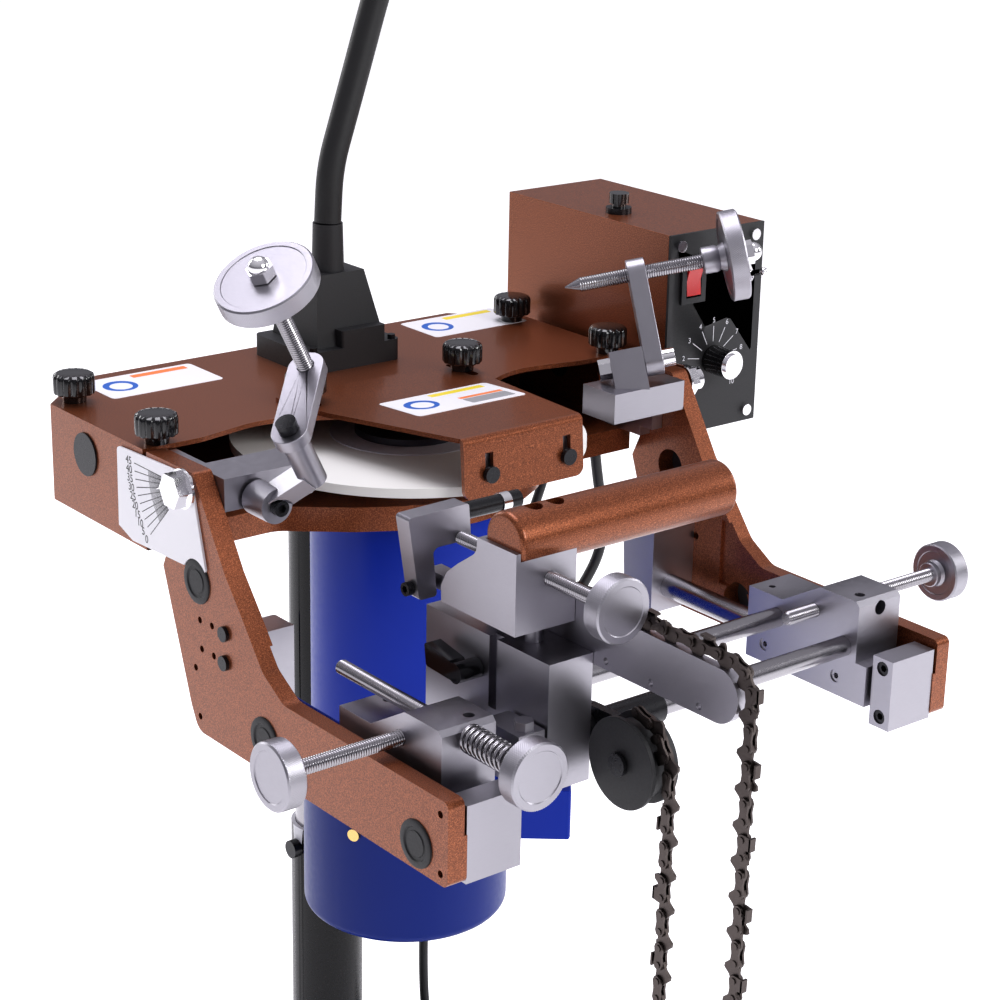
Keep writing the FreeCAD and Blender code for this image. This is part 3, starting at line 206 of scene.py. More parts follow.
def add_piece(name, points, faces, finish, body, replaces=(), material=None, sharp=SHARP_DEGREES):
    """Mesh piece from points in metres, shaded smooth except over edges sharper than the angle."""
    mesh = bpy.data.meshes.new(name)
    mesh.from_pydata([tuple(p) for p in points], [], faces)
    shell = bmesh.new()
    shell.from_mesh(mesh)
    bmesh.ops.recalc_face_normals(shell, faces=shell.faces)
    shell.to_mesh(mesh)
    shell.free()
    mesh.materials.append(material or MATERIALS[finish])
    mesh.shade_smooth()
    mesh.set_sharp_from_angle(angle=math.radians(sharp))
    piece = bpy.data.objects.new(name, mesh)
    scene.collection.objects.link(piece)
    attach(piece, body)
    if replaces:
        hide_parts(*replaces)


def axes_frame(origin, along, across):
    """Matrix in metres whose Z runs along one direction and X near another, from a point in metres."""
    z = along.normalized()
    x = (across - z * across.dot(z)).normalized()
    return Matrix.Translation(origin) @ Matrix((x, z.cross(x), z)).transposed().to_4x4()


class Shape:
    """Points in millimetres of a local frame, and faces, gathered before one mesh is made."""

    def __init__(self):
        self.points = []
        self.faces = []

    def add(self, points, faces):
        first = len(self.points)
        self.points += [Vector(p) for p in points]
        self.faces += [tuple(first + i for i in face) for face in faces]

    def lathe(self, rings, radius=None, steps=48):
        """Surface about local Z with closed ends; a ring is (height, radius).

        radius(base, height, angle) may change a ring's radius round the axis.
        """
        points = []
        for height, base in rings:
            for i in range(steps):
                angle = 2.0 * math.pi * i / steps
                r = radius(base, height, angle) if radius else base
                points.append((r * math.cos(angle), r * math.sin(angle), height))
        faces = []
        for k in range(len(rings) - 1):
            for i in range(steps):
                j = (i + 1) % steps
                faces.append((k * steps + i, k * steps + j, (k + 1) * steps + j, (k + 1) * steps + i))
        faces.append(tuple(reversed(range(steps))))
        faces.append(tuple((len(rings) - 1) * steps + i for i in range(steps)))
        self.add(points, faces)

    def prism(self, outline, low, high):
        """Prism of an outline of local (x, y) points, given counter-clockwise, between two heights."""
        n = len(outline)
        points = [(x, y, low) for x, y in outline] + [(x, y, high) for x, y in outline]
        faces = [tuple(reversed(range(n))), tuple(range(n, 2 * n))]
        faces += [(i, (i + 1) % n, n + (i + 1) % n, n + i) for i in range(n)]
        self.add(points, faces)

    def piece(self, name, place, finish, body, replaces=(), material=None, sharp=SHARP_DEGREES):
        points = [place @ (p * MM) for p in self.points]
        add_piece(name, points, self.faces, finish, body, replaces, material, sharp)


def rounded_rectangle(x0, x1, y0, y1, radius, steps=5):
    centres = ((x1 - radius, y1 - radius, 0), (x0 + radius, y1 - radius, 90),
               (x0 + radius, y0 + radius, 180), (x1 - radius, y0 + radius, 270))
    outline = []
    for cx, cy, start in centres:
        for i in range(steps + 1):
            angle = math.radians(start + 90.0 * i / steps)
            outline.append((cx + radius * math.cos(angle), cy + radius * math.sin(angle)))
    return outline


def disc_outline(x, y, radius, steps=32):
    angles = [2.0 * math.pi * i / steps for i in range(steps)]
    return [(x + radius * math.cos(a), y + radius * math.sin(a)) for a in angles]


def triangle_wave(t):
    """0 at whole numbers, 1 half way between."""
    return 1.0 - abs(2.0 * (t - math.floor(t)) - 1.0)


# ---------------------------------------------------------------- cords

def nurbs_cord(name, points, radius, body, replaces):
    """Round cord on one smooth NURBS spline whose control points are in millimetres."""
    curve = bpy.data.curves.new(name, "CURVE")
    curve.dimensions = "3D"
    curve.bevel_depth = radius * MM
    curve.bevel_resolution = 5
    curve.resolution_u = 8
    curve.use_fill_caps = True
    spline = curve.splines.new("NURBS")
    spline.points.add(len(points) - 1)
    for control, place in zip(spline.points, points):
        control.co = (*at(*place), 1.0)
    spline.order_u = 3
    spline.use_endpoint_u = True
    curve.materials.append(MATERIALS["cord_black"])
    cord = bpy.data.objects.new(name, curve)
    scene.collection.objects.link(cord)
    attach(cord, body)
    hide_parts(*replaces)
    return cord


MOTOR_CABLE_R = 4.0
MOTOR_CABLE = [(236, 140, -56.8), (242, 140, -115), (258, 140, -178), (225, 139, -222),
               (170, 137, -268), (107, 125.3, -290), (55.3, 86.45, -290)]
motor_cable = nurbs_cord("motor_cable_run", MOTOR_CABLE, MOTOR_CABLE_R, "head", ["motor_cable"])
at(*MOTOR_CABLE[0])

LEAD_R = 3.5
MAINS_LEAD = [(224, 152, -57.3), (210, 152, -108), (182, 151, -170), (150, 151, -240),
              (120, 151, -318), (99, 152, -400), (97, 154, -480), (102, 156, -550),
              (122, 157, -592), (152, 158, -612)]
COIL = (190.0, 120.0)
COIL_START = 90.0
COIL_TURN_STEP = 22.5
# Each lap of the coil: radius and height of the cord's middle above the bench.
COIL_LAPS = ((44.3, 3.6), (36.6, 3.7), (36.6, 11.0), (44.3, 11.2))
# Last part of a lap, in which the cord crosses over to the next one.
LAP_CROSSING = 0.25


def coil_points():
    """Turns of the coil, clockwise seen from above, ending where the cord leaves for the plug."""
    points = []
    steps = round((COIL_START + 360.0 * (len(COIL_LAPS) - 1)) / COIL_TURN_STEP)
    for i in range(steps + 1):
        turn = i * COIL_TURN_STEP / 360.0
        lap = min(int(turn), len(COIL_LAPS) - 1)
        following = min(lap + 1, len(COIL_LAPS) - 1)
        crossed = (turn - lap - 1.0 + LAP_CROSSING) / LAP_CROSSING
        part = min(1.0, max(0.0, crossed)) if lap < following else 0.0
        radius, height = (a + (b - a) * part for a, b in zip(COIL_LAPS[lap], COIL_LAPS[following]))
        angle = math.radians(COIL_START - i * COIL_TURN_STEP)
        points.append((COIL[0] + radius * math.cos(angle), COIL[1] + radius * math.sin(angle),
                       height - COVER_TOP))
    return points


PLUG_BEND = (232.0, 98.0, 11.0 - COVER_TOP)
PLUG_ENTRY = (230.0, 83.0, 8.0 - COVER_TOP)
lead_points = MAINS_LEAD + coil_points() + [PLUG_BEND, PLUG_ENTRY]
mains_lead = nurbs_cord("mains_lead_run", lead_points, LEAD_R, "head", ["mains_lead", "lead_coil"])
at(*MAINS_LEAD[0])


# ---------------------------------------------------------------- CAD nodes: finish, painted shade and edges

EDGE_MM = 0.45
EDGE_DEGREES = 35.0
WELD_MM = 0.001
NO_BEVEL = ("grinding_stone", "column_pipe")
for entry in frame["record"]["subparts"]:
    node = frame["nodes"][entry["node"]]
    mesh = node.data
    mesh.materials.clear()
    mesh.materials.append(MATERIALS[entry["material_slot"]])
    if "custom_normal" in mesh.attributes:
        mesh.attributes.remove(mesh.attributes["custom_normal"])
    mesh.shade_smooth()
    mesh.set_sharp_from_angle(angle=math.radians(SHARP_DEGREES))
    if entry["node"] in NO_BEVEL:
        continue
    weld = node.modifiers.new("weld", "WELD")
    weld.merge_threshold = WELD_MM * MM
    edge = node.modifiers.new("edge", "BEVEL")
    edge.width = EDGE_MM * MM
    edge.segments = 2
    edge.limit_method = "ANGLE"
    edge.angle_limit = math.radians(EDGE_DEGREES)
    edge.harden_normals = True


def repaint(node_name, inside, material):
    """Second finish, print or painted shade on a node's faces whose middle, in drawing millimetres, lies
    inside.
    """
    mesh = frame["nodes"][node_name].data
    mesh.materials.append(material)
    last = len(mesh.materials) - 1
    for polygon in mesh.polygons:
        x, y, z = polygon.center / MM
        if inside(x, y + POST_Y, z - COVER_TOP):
            polygon.material_index = last


OXIDE = MATERIALS["black_oxide"]
STONE_TOP, ABOVE_STONE = -22.0, -21.9
BLOTTER_R = 50.0


def from_stone_axis(x, y):
    return math.hypot(x, y - STONE_Y)


repaint("guard_shield", lambda x, y, z: y < -70.0, OXIDE)
# The motor cup gets a darker copy of the motor's blue paint: painted shade.
repaint("motor_cup", lambda x, y, z: z < -200.0, PRINTS_AND_SHADE["painted_shade_blue"])
repaint("grinding_stone",
        lambda x, y, z: z > ABOVE_STONE or (z > STONE_TOP and from_stone_axis(x, y) < BLOTTER_R),
        PRINTS_AND_SHADE["blotter"])
repaint("pedestal", lambda x, y, z: z > -356.0, PRINTS_AND_SHADE["light"])


# ---------------------------------------------------------------- threaded rods and knurled knobs

PITCH = 1.6
THREAD_DEPTH = 0.55
RINGS_PER_PITCH = 5
KNURL_STEP = 1.5
KNURL_DEPTH = 0.22
ROD_STEPS = 20
KNURL_POINTS_PER_TOOTH = 4


def thread(base, height, angle):
    return base - THREAD_DEPTH * triangle_wave(height / PITCH - angle / (2.0 * math.pi))


def threaded_rod(shape, rod_r, start, end, pointed):
    """Rod about local Z with a cut thread; a pointed rod has a plain cone at its start."""
    tip = 2.0 * rod_r if pointed else 1.0
    tip_r = 0.5 if pointed else rod_r - 1.0
    shape.lathe([(start, tip_r), (start + tip, rod_r - THREAD_DEPTH)], steps=ROD_STEPS)
    count = int((end - start - tip) / (PITCH / RINGS_PER_PITCH))
    rings = [(start + tip + i * (end - start - tip) / count, rod_r) for i in range(count + 1)]
    shape.lathe(rings, thread, ROD_STEPS)


def knurled_disc(shape, radius, start, end):
    """Round knob with a diamond-knurled rim, chamfered edges and shallow dished faces."""
    teeth = round(2.0 * math.pi * radius / KNURL_STEP)
    chamfer = 0.9

    def knurl(base, height, angle):
        if base < radius - 0.01:
            return base
        u, v = teeth * angle / (2.0 * math.pi), height / KNURL_STEP
        return base - KNURL_DEPTH * (2.0 - triangle_wave(u + v) - triangle_wave(u - v))

    band = end - start - 2.0 * chamfer
    count = max(4, round(4 * band / KNURL_STEP))
    rings = [(start + 0.5, radius - 5.0), (start, radius - 4.5), (start, radius - chamfer - 0.3)]
    rings += [(start + chamfer + band * i / count, radius) for i in range(count + 1)]
    rings += [(end, radius - chamfer - 0.3), (end, radius - 4.5), (end - 0.5, radius - 5.0)]
    shape.lathe(rings, knurl, teeth * KNURL_POINTS_PER_TOOTH)


NUT_ACROSS, NUT_HEIGHT = 14.0, 7.0
DOME_R, DOME_HEIGHT = 6.3, 6.0


def acorn_nut(shape, start):
    """Hexagon NUT_ACROSS its flats, with a dome on top."""
    corner_r = NUT_ACROSS / math.sqrt(3.0)
    turns = [math.radians(60 * i) for i in range(6)]
    top = start + NUT_HEIGHT
    shape.prism([(corner_r * math.cos(a), corner_r * math.sin(a)) for a in turns], start, top)
    rises = [math.radians(10 * i) for i in range(9)]
    dome = [(top + DOME_HEIGHT * math.sin(a), DOME_R * math.cos(a)) for a in rises]
    shape.lathe([(top - 0.5, DOME_R)] + dome, steps=32)


def stop_screw(node, body, place, rod_r, rod_len, knob_r, knob_len, hub_r=0.0, hub_len=0.0,
               pointed=False, nut=False):
    """Threaded rod, hub, knurled knob and acorn nut of one screw, in place of its CAD node."""
    rod = Shape()
    threaded_rod(rod, rod_r, 0.0, rod_len + 0.4, pointed)
    rod.piece(node + "_rod", place, "steel", body, [node])
    knob = Shape()
    if hub_len:
        rings = [(rod_len, hub_r - 0.6), (rod_len + 0.6, hub_r), (rod_len + hub_len * 0.6, hub_r),
                 (rod_len + hub_len * 0.75, hub_r - 0.9), (rod_len + hub_len + 0.3, hub_r + 0.9)]
        knob.lathe(rings, steps=40)
    knob_start = rod_len + hub_len
    knurled_disc(knob, knob_r, knob_start, knob_start + knob_len)
    knob.piece(node + "_knob", place, "machined_aluminium", body)
    if nut:
        cap = Shape()
        acorn_nut(cap, knob_start + knob_len)
        cap.piece(node + "_nut", place, "chrome_fixings", body)


X_STOP_YZ = (-187.0, -102.3)
STOP_ROD_R, STOP_KNOB_R = 4.5, 19.05
PAWL_ROD_R, PAWL_KNOB_R = 4.2, 18.4
KNOB_LEN = 12.0
STOP_HUB = {"hub_r": 8.0, "hub_len": 6.0}
stop_screw("x_stop_left", "stop_x_left", axes_frame(at(-137.0, *X_STOP_YZ), -X_DIR, Z_DIR),
           STOP_ROD_R, 104.0, STOP_KNOB_R, KNOB_LEN, **STOP_HUB)
stop_screw("x_stop_right", "stop_x_right", axes_frame(at(115.0, *X_STOP_YZ), X_DIR, Z_DIR),
           STOP_ROD_R, 128.0, STOP_KNOB_R, KNOB_LEN, **STOP_HUB)
Y_STOP_PLACE = axes_frame(at(-158.0, -106.5, -93.0), -Y_DIR, X_DIR)
stop_screw("y_stop", "stop_y", Y_STOP_PLACE, STOP_ROD_R, 166.0, STOP_KNOB_R, KNOB_LEN)
stop_screw("pawl_adjuster", "adjuster", axes_frame(at(-98.2, -137.5, -19.0), -Y_DIR, X_DIR),
           PAWL_ROD_R, 127.0, PAWL_KNOB_R, KNOB_LEN)

# Spring round the Y stop between the carriage and the knob.
SPRING_START, SPRING_PITCH, SPRING_TURNS = 118.9, 4.0, 11.5
SPRING_R, WIRE_R = 7.2, 1.1
spring_curve = bpy.data.curves.new("stop_spring", "CURVE")
spring_curve.dimensions = "3D"
spring_curve.bevel_depth = WIRE_R * MM
spring_curve.bevel_resolution = 3
spring_curve.use_fill_caps = True
spring_spline = spring_curve.splines.new("POLY")
STEPS_PER_TURN = 24
spring_count = int(SPRING_TURNS * STEPS_PER_TURN)
spring_spline.points.add(spring_count)
for i in range(spring_count + 1):
    angle = 2.0 * math.pi * i / STEPS_PER_TURN
    height = SPRING_START + SPRING_PITCH * i / STEPS_PER_TURN
    local = Vector((SPRING_R * math.cos(angle), SPRING_R * math.sin(angle), height)) * MM
    spring_spline.points[i].co = (*(Y_STOP_PLACE @ local), 1.0)
spring_curve.materials.append(MATERIALS["steel"])
spring = bpy.data.objects.new("stop_spring", spring_curve)
scene.collection.objects.link(spring)
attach(spring, "stop_y")

# Dressing screws, on the axes that part.py gives them: REACH is from the arm's hinge to its eye,
# and BACK from the eye to the diamond tip.
DRESSER_ROD_R, DRESSER_KNOB_R, DRESSER_HUB_R = 5.0, 30.0, 9.0
L_NORMAL = Vector((-0.494, -0.145, 0.853)).normalized()
L_DOWN = Vector((-0.63, -0.62, -0.47)).normalized()
L_HINGE = Vector((-158.0, -61.0, 29.0))
L_REACH, L_BACK = 52.0, 14.0
L_TIP = L_HINGE - L_DOWN * L_REACH - L_NORMAL * L_BACK
stop_screw("dresser_screw_left", "dressing_screw_left",
           axes_frame(at(*L_TIP), L_NORMAL, L_NORMAL.cross(L_DOWN)),
           DRESSER_ROD_R, 72.0, DRESSER_KNOB_R, KNOB_LEN, DRESSER_HUB_R, 7.0, pointed=True, nut=True)
R_AXIS = Vector((0.80, -0.566, 0.20)).normalized()
R_SIDE = R_AXIS.cross(Vector((0.038, 0.380, 0.924))).normalized()
R_UP = R_SIDE.cross(R_AXIS).normalized()
R_HINGE = Vector((153.0, -8.0, 12.0))
R_REACH, R_BACK = 58.0, 42.0
R_TIP = R_HINGE + R_UP * R_REACH - R_AXIS * R_BACK
stop_screw("dresser_screw_right", "dressing_screw_right", axes_frame(at(*R_TIP), R_AXIS, R_UP),
           DRESSER_ROD_R, 92.0, DRESSER_KNOB_R, KNOB_LEN, DRESSER_HUB_R, 15.0, pointed=True, nut=True)


# ---------------------------------------------------------------- fluted clamping knobs

KNOB_R, KNOB_FLUTES = 13.2, 14
CORNER_KNOBS = ((-177.5, 57.0), (177.5, 57.0), (-176.0, 160.0), (176.0, 160.0))
GUARD_KNOBS = ((-62.0, 70.0), (62.0, 70.0))
COVER_SEAT, GUARD_SEAT = 0.1, 3.4
FLUTE_DEPTH = 1.1


def fluted_knob(shape, seat):
    def flute(base, height, angle):
        if base < KNOB_R - 1.5:
            return base
        return base - FLUTE_DEPTH * abs(math.cos(KNOB_FLUTES * angle / 2.0)) ** 6
    rings = [(seat, 7.4), (seat + 3.8, 7.9), (seat + 5.0, 9.0), (seat + 5.4, 12.6), (seat + 6.4, KNOB_R),
             (seat + 15.6, KNOB_R), (seat + 17.4, 12.6), (seat + 18.4, 10.8), (seat + 18.9, 7.0)]
    shape.lathe(rings, flute, KNOB_FLUTES * 8)


for number, (x, y) in enumerate(CORNER_KNOBS + GUARD_KNOBS):
    knob = Shape()
    fluted_knob(knob, GUARD_SEAT if (x, y) in GUARD_KNOBS else COVER_SEAT)
    knob.piece(f"clamping_knob_{number}", axes_frame(at(x, y, 0.0), Z_DIR, X_DIR), "black_plastic",
               "head", ["cover_knobs"] if number == 0 else ())


# ---------------------------------------------------------------- labels and graduations

LABEL_T = 0.25
INK_T = 0.05
PRINT_SHARP_DEGREES = 10.0


def flat_print(name, outline, place, finish, body, material, thickness=LABEL_T):
    shape = Shape()
    shape.prism(outline, 0.0, thickness)
    shape.piece(name, place, finish, body, material=material, sharp=PRINT_SHARP_DEGREES)


def blank_label(name, place, body, width, depth, header):
    """White label with a coloured header bar, a blue disc and no lettering."""
    flat_print(name, rounded_rectangle(0, width, 0, depth, 3.0), place, "scale_white", body,
               PRINTS_AND_SHADE["paper"])
    above = place @ Matrix.Translation((0, 0, LABEL_T * MM))
    bar = rounded_rectangle(width * 0.42, width * 0.92, depth * 0.78, depth * 0.92, 0.8)
    flat_print(name + "_header", bar, above, "scale_white", body, header, INK_T)
    disc = disc_outline(width * 0.22, depth * 0.52, depth * 0.26)
    flat_print(name + "_disc", disc, above, "scale_white", body, PRINTS_AND_SHADE["blue"], INK_T)
    inner = disc_outline(width * 0.22, depth * 0.50, depth * 0.17)
    flat_print(name + "_face", inner, above, "scale_white", body, PRINTS_AND_SHADE["paper"], 0.08)


COVER_LABEL = (82.0, 44.0)
blank_label("label_left", axes_frame(at(-154.5, 149.0, 0.0), Z_DIR, X_DIR), "head", *COVER_LABEL,
            PRINTS_AND_SHADE["orange"])
blank_label("label_right", axes_frame(at(103.0, 152.5, 0.0), Z_DIR, X_DIR), "head", *COVER_LABEL,
            PRINTS_AND_SHADE["yellow"])
GUARD_SLOPE = math.atan2(7.6, 111.5)
guard_up = Vector((0.0, math.sin(GUARD_SLOPE), math.cos(GUARD_SLOPE)))
guard_label = axes_frame(at(-31.0, -8.0, 6.6), guard_up, X_DIR)
blank_label("label_guard", guard_label, "guard", 85.0, 44.0, PRINTS_AND_SHADE["yellow"])
guard_above = guard_label @ Matrix.Translation((0, 0, LABEL_T * MM))
flat_print("label_guard_block", rounded_rectangle(46, 80, 5, 17, 1.0), guard_above, "scale_white",
           "guard", PRINTS_AND_SHADE["grey"], INK_T)
flat_print("label_guard_stripe", rounded_rectangle(46, 80, 18, 22, 0.8), guard_above, "scale_white",
           "guard", PRINTS_AND_SHADE["orange"], INK_T)

# Angle scale: the plate's local X points to the rear and its local Y up, with the pivot at (0, 0).
SCALE_FACE = 193.3
SCALE_SPAN = 45
SCALE_LINE_START, SCALE_LONG_END, SCALE_SHORT_END = 26.0, 57.0, 41.0
SCALE_LONG_WIDTH, SCALE_SHORT_WIDTH = 0.5, 0.28
SCALE_NUMBER_R, SCALE_NUMBER_SIZE = 63.5, 7.0
scale_place = axes_frame(at(-SCALE_FACE, 0.0, -10.0), -X_DIR, -Y_DIR)


def radial_line(shape, angle, start, end, width):
    """Thin bar from one radius to another, at an angle in degrees from local X."""
    a = math.radians(angle)
    along, side = Vector((math.cos(a), math.sin(a))), Vector((-math.sin(a), math.cos(a))) * width / 2
    corners = [along * start - side, along * end - side, along * end + side, along * start + side]
    shape.prism([tuple(c) for c in corners], 0.0, INK_T)


def number_piece(name, text, size, place, body, material):
    """Plain figure as a flat mesh, centred on its place."""
    curve = bpy.data.curves.new(name, "FONT")
    curve.body = text
    curve.size = size * MM
    curve.align_x = "CENTER"
    curve.align_y = "CENTER"
    curve.extrude = 0.04 * MM
    holder = bpy.data.objects.new(name + "_text", curve)
    mesh = bpy.data.meshes.new_from_object(holder)
    bpy.data.objects.remove(holder)
    mesh.transform(place)
    mesh.materials.clear()
    mesh.materials.append(material)
    piece = bpy.data.objects.new(name, mesh)
    scene.collection.objects.link(piece)
    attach(piece, body)


def number_spot(radius, degrees):
    """Shift in metres from the middle of a scale or dial to a figure on it."""
    a = math.radians(degrees)
    return Matrix.Translation(Vector((radius * math.cos(a), radius * math.sin(a), INK_T)) * MM)


def scale_angle(degree):
    return 180.0 + SCALE_SPAN - degree


graduations = Shape()
for degree in range(SCALE_SPAN + 1):
    if degree % 5 == 0:
        line_end, line_width = SCALE_LONG_END, SCALE_LONG_WIDTH
    else:
        line_end, line_width = SCALE_SHORT_END, SCALE_SHORT_WIDTH
    radial_line(graduations, scale_angle(degree), SCALE_LINE_START, line_end, line_width)
graduations.piece("scale_graduations", scale_place, "scale_white", "arms", material=PRINTS_AND_SHADE["black"],
                  sharp=PRINT_SHARP_DEGREES)
for degree in range(0, SCALE_SPAN + 1, 5):
    spot = number_spot(SCALE_NUMBER_R, scale_angle(degree))
    number_piece(f"scale_number_{degree}", str(degree), SCALE_NUMBER_SIZE, scale_place @ spot,
                 "arms", PRINTS_AND_SHADE["black"])

# Speed dial on the control panel: radial lines and figures.
PANEL_FACE = 18.8
DIAL_MARKS = 11
DIAL_FIRST, DIAL_SWEEP = 225.0, 270.0
DIAL_LINE_START, DIAL_LINE_END, DIAL_LINE_WIDTH = 12.5, 23.5, 0.55
DIAL_NUMBER_R, DIAL_NUMBER_SIZE = 27.5, 5.2
dial_place = axes_frame(at(240.7, PANEL_FACE, -6.0), -Y_DIR, X_DIR)
dial = Shape()


def dial_angle(mark):
    return DIAL_FIRST - DIAL_SWEEP * mark / (DIAL_MARKS - 1)


for i in range(DIAL_MARKS):
    radial_line(dial, dial_angle(i), DIAL_LINE_START, DIAL_LINE_END, DIAL_LINE_WIDTH)
dial.piece("dial_lines", dial_place, "scale_white", "head", material=PRINTS_AND_SHADE["light"],
           sharp=PRINT_SHARP_DEGREES)
for i in range(DIAL_MARKS):
    spot = number_spot(DIAL_NUMBER_R, dial_angle(i))
    number_piece(f"dial_number_{i}", str(i), DIAL_NUMBER_SIZE, dial_place @ spot, "head",
                 PRINTS_AND_SHADE["light"])


# ---------------------------------------------------------------- saw chain

CHAIN_X = -76.9
CHAIN_PITCH = 10.26
CHAIN_TOP = -30.2
NOSE_R, LOOP_R, WRAP_R = 16.0, 29.0, 29.2
STRAND_FRONT, STRAND_REAR = -351.5, -293.5
LOOP_Z = -560.0
ROLLER_YZ = Vector((-264.3, -113.3))
BAR_START_Y = -152.0
# Distances from the chain's middle plane, and the rivets' radius.
DRIVER_SIDE = 0.8
STRAP_IN, STRAP_OUT = 0.95, 2.3
CUTTER_OVERHANG = 1.6
RIVET_IN, RIVET_OUT, RIVET_R = 2.2, 2.9, 1.9


def straight(start, end):
    """Run of the chain: its length and a function of the distance along it."""
    start, end = Vector(start), Vector(end)
    return (end - start).length, lambda s: start + (end - start).normalized() * s


def bend(centre, radius, first, last):
    """Bend of the chain about a centre, between two angles in degrees."""
    sign = 1.0 if last > first else -1.0
    length = radius * math.radians(abs(last - first))

    def place(s):
        a = math.radians(first) + sign * s / radius
        return Vector(centre) + Vector((math.cos(a), math.sin(a))) * radius
    return length, place


CHAIN_RUNS = (
    straight((BAR_START_Y, CHAIN_TOP), (STRAND_FRONT + NOSE_R, CHAIN_TOP)),
    bend((STRAND_FRONT + NOSE_R, CHAIN_TOP - NOSE_R), NOSE_R, 90, 180),
    straight((STRAND_FRONT, CHAIN_TOP - NOSE_R), (STRAND_FRONT, LOOP_Z)),
    bend((STRAND_FRONT + LOOP_R, LOOP_Z), LOOP_R, 180, 360),
    straight((STRAND_REAR, LOOP_Z), (STRAND_REAR, ROLLER_YZ.y)),
    bend(ROLLER_YZ, WRAP_R, 180, 90),
)


def chain_rivets():
    """Rivet places (y, z) at the chain's pitch along its runs."""
    places, travelled = [], 0.0
    for length, place in CHAIN_RUNS:
        while travelled < length:
            places.append(place(travelled))
            travelled += CHAIN_PITCH
        travelled -= length
    return places


STRAP = [(-3.3, 0.0), (-2.3, -2.4), (0.0, -3.3), (5.13, -2.5), (10.26, -3.3), (12.56, -2.4), (13.56, 0.0),
         (12.56, 2.4), (10.26, 3.3), (5.13, 2.5), (0.0, 3.3), (-2.3, 2.4)]
TANG = [(-3.3, 0.0), (-2.2, -3.0), (0.5, -5.2), (3.2, -8.2), (5.6, -8.6), (8.4, -5.0), (12.4, -2.8),
        (13.56, 0.0), (12.56, 2.4), (10.26, 3.1), (5.13, 2.4), (0.0, 3.1), (-2.3, 2.4)]
CUTTER = [(-3.3, 0.0), (-2.3, -2.4), (0.0, -3.3), (5.13, -2.5), (10.26, -3.3), (12.56, -2.4), (13.4, 0.0),
          (13.2, 3.6), (12.2, 5.6), (9.6, 5.2), (8.2, 3.0), (6.4, 2.2), (4.6, 3.4), (4.4, 6.5), (-2.8, 6.7),
          (-3.3, 3.0)]
CUTTER_TOP = [(-3.0, 5.5), (4.6, 5.3), (4.6, 6.5), (-3.0, 6.8)]


def chain_slab(shape, outline, x0, x1):
    """Slab of an outline of (y, z) points, between two distances from the chain's middle plane."""
    n = len(outline)
    points = [(CHAIN_X + x0, y, z) for y, z in outline] + [(CHAIN_X + x1, y, z) for y, z in outline]
    faces = [tuple(range(n)), tuple(range(n, 2 * n))]
    faces += [(i, (i + 1) % n, n + (i + 1) % n, n + i) for i in range(n)]
    shape.add(points, faces)


class Link:
    """Frame of one chain link between two rivets, to place outlines of (along, outward) points."""

    def __init__(self, first, second):
        self.start = first
        self.along = (second - first).normalized()
        self.out = Vector((self.along.y, -self.along.x))

    def plate(self, shape, outline, x0, x1):
        flat = [self.start + self.along * s + self.out * n for s, n in outline]
        chain_slab(shape, flat, x0, x1)


def rivet(shape, place):
    turns = [math.radians(a) for a in range(0, 360, 36)]
    ring = [(place.x + RIVET_R * math.cos(a), place.y + RIVET_R * math.sin(a)) for a in turns]
    for side in (-1.0, 1.0):
        chain_slab(shape, ring, side * RIVET_IN, side * RIVET_OUT)


def drawing_frame():
    """Matrix for shapes whose points are already in drawing millimetres."""
    return Matrix.Translation(at(0.0, 0.0, 0.0))


straps, drivers, cutters = Shape(), Shape(), Shape()
rivets = chain_rivets()
for i in range(len(rivets) - 1):
    link = Link(rivets[i], rivets[i + 1])
    if i % 2:
        link.plate(drivers, TANG, -DRIVER_SIDE, DRIVER_SIDE)
        continue
    sides = {-1: STRAP, 1: STRAP}
    if i % 8 in (0, 4):
        side = 1 if i % 8 == 0 else -1
        sides[side] = CUTTER
        link.plate(cutters, CUTTER_TOP, side * STRAP_OUT, -side * CUTTER_OVERHANG)
    for side, outline in sides.items():
        target = cutters if outline is CUTTER else straps
        link.plate(target, outline, side * STRAP_IN, side * STRAP_OUT)
for place in rivets:
    rivet(straps, place)
straps.piece("chain_straps", drawing_frame(), "chain_steel", "vise_top", ["saw_chain"])
drivers.piece("chain_drive_links", drawing_frame(), "chain_steel", "vise_top")
cutters.piece("chain_cutters", drawing_frame(), "chain_steel", "vise_top")


# ---------------------------------------------------------------- hole plugs

PLUG_RINGS = ((0.0, 13.7), (0.9, 13.5), (1.2, 12.9), (1.2, 10.0), (0.5, 9.4), (0.5, 7.6), (1.0, 7.2))
ARM_OUT = 191.8
ARM_PLUGS = ((-9.5, -64.8), (-79.3, -139.7), (-224.5, -145.0))


def hole_plug(name, x, y, z, body, replaces=()):
    plug = Shape()
    plug.lathe(PLUG_RINGS, steps=48)
    outward = X_DIR if x > 0 else -X_DIR
    plug.piece(name, axes_frame(at(x, y, z), outward, Z_DIR), "black_matte", body, replaces)


for number, (y, z) in enumerate(ARM_PLUGS):
    hole_plug(f"arm_plug_left_{number}", -ARM_OUT, y, z, "arms", ["arm_plugs"] if number == 0 else ())
    hole_plug(f"arm_plug_right_{number}", ARM_OUT, y, z, "arms")


# ---------------------------------------------------------------- other finishes on CAD nodes

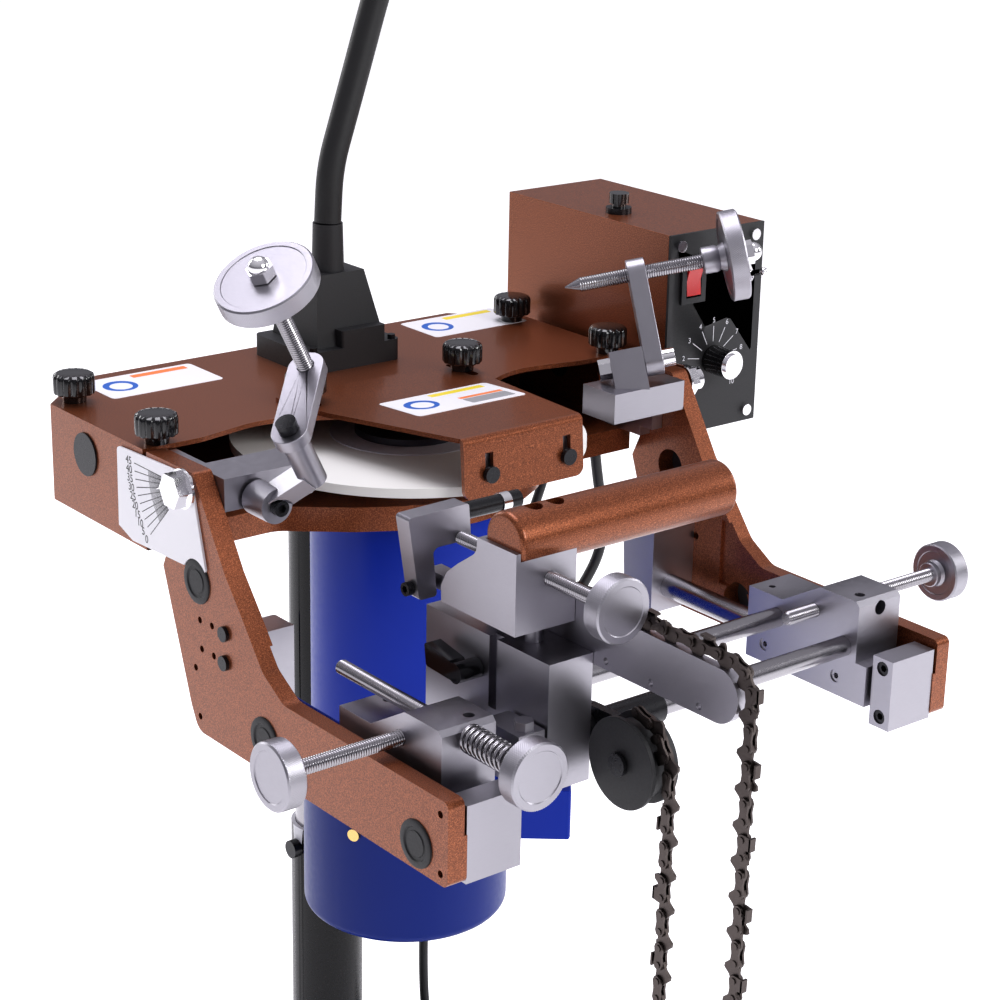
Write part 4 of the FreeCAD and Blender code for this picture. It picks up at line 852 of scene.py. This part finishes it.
CHROME = MATERIALS["chrome_fixings"]
brass = new_material("brass_screw", (0.72, 0.50, 0.20), 1.0, 0.25)
dark_steel = new_material("dark_flange", (0.10, 0.10, 0.12), 0.8, 0.35)
repaint("head_fasteners", lambda x, y, z: y < 19.0 and x > 190.0, CHROME)
repaint("head_fasteners", lambda x, y, z: z < -270.0 and from_stone_axis(x, y) < 74.0, brass)
repaint("control_panel", lambda x, y, z: y < 18.7 and abs(x - 266.0) < 9.0 and z > 40.0, CHROME)
repaint("speed_knob", lambda x, y, z: y < -1.1, CHROME)
repaint("pawl_pins", lambda x, y, z: -66.2 < x < -59.8, CHROME)
repaint("wheel_arbor", lambda x, y, z: z > ABOVE_STONE and from_stone_axis(x, y) > 15.0, dark_steel)
repaint("pivot_bolts", lambda x, y, z: y < -43.0 and z < 0.0, OXIDE)
repaint("slide_rails", lambda x, y, z: y < -250.0, dark_steel)
repaint("dresser_link_left", lambda x, y, z: (Vector((x, y, z)) - L_HINGE).dot(L_NORMAL) > 8.0, OXIDE)


# ---------------------------------------------------------------- floor, light and world

FLOOR_SIZE = 40.0
bpy.ops.mesh.primitive_plane_add(size=FLOOR_SIZE)
floor = bpy.context.object
floor.name = "floor"
floor_material = new_material("floor", (0.90, 0.90, 0.91), 0.0, 0.9)
floor_shader = floor_material.node_tree.nodes["Principled BSDF"]
floor_shader.inputs["Emission Color"].default_value = (1.0, 0.99, 1.0, 1.0)
floor_shader.inputs["Emission Strength"].default_value = 0.48
floor.data.materials.append(floor_material)

# The sky is bright overhead and grey at the horizon, so that upright metal faces keep some contrast.
SKY = ((0.0, (0.30, 0.30, 0.32)), (0.52, (0.16, 0.16, 0.18)), (0.66, (0.50, 0.49, 0.54)),
       (1.0, (0.95, 0.93, 1.0)))
world = bpy.data.worlds.new("studio")
scene.world = world
world.use_nodes = True
sky_tree = world.node_tree
sky_place = sky_tree.nodes.new("ShaderNodeTexCoord")
sky_split = sky_tree.nodes.new("ShaderNodeSeparateXYZ")
sky_height = sky_tree.nodes.new("ShaderNodeMapRange")
sky_height.inputs["From Min"].default_value = -1.0
sky_ramp = sky_tree.nodes.new("ShaderNodeValToRGB")
for i, (height, color) in enumerate(SKY):
    element = sky_ramp.color_ramp.elements[i] if i < 2 else sky_ramp.color_ramp.elements.new(height)
    element.position = height
    element.color = (*color, 1.0)
sky_tree.links.new(sky_place.outputs["Generated"], sky_split.inputs["Vector"])
sky_tree.links.new(sky_split.outputs["Z"], sky_height.inputs["Value"])
sky_tree.links.new(sky_height.outputs["Result"], sky_ramp.inputs["Fac"])
sky_tree.links.new(sky_ramp.outputs["Color"], sky_tree.nodes["Background"].inputs["Color"])
sky_tree.nodes["Background"].inputs["Strength"].default_value = 0.62


def softbox(name, place, target, size, power, color=(1.0, 1.0, 1.0)):
    data = bpy.data.lights.new(name, "AREA")
    data.shape = "SQUARE"
    data.size = size
    data.energy = power
    data.color = color
    light = bpy.data.objects.new(name, data)
    light.location = place
    light.rotation_euler = (Vector(target) - Vector(place)).to_track_quat("-Z", "Y").to_euler()
    scene.collection.objects.link(light)


AIM = (0.0, -0.15, 0.55)
softbox("key", (0.5, -2.3, 1.7), AIM, 1.0, 26.0)
softbox("right", (2.2, -1.0, 1.3), AIM, 0.9, 14.0)
softbox("top", (0.1, 0.5, 2.6), AIM, 1.5, 26.0, (0.95, 0.93, 1.0))
softbox("back", (-0.6, 2.4, 1.4), AIM, 1.4, 18.0)
scene.view_settings.view_transform = "Standard"
scene.view_settings.look = "Medium High Contrast"
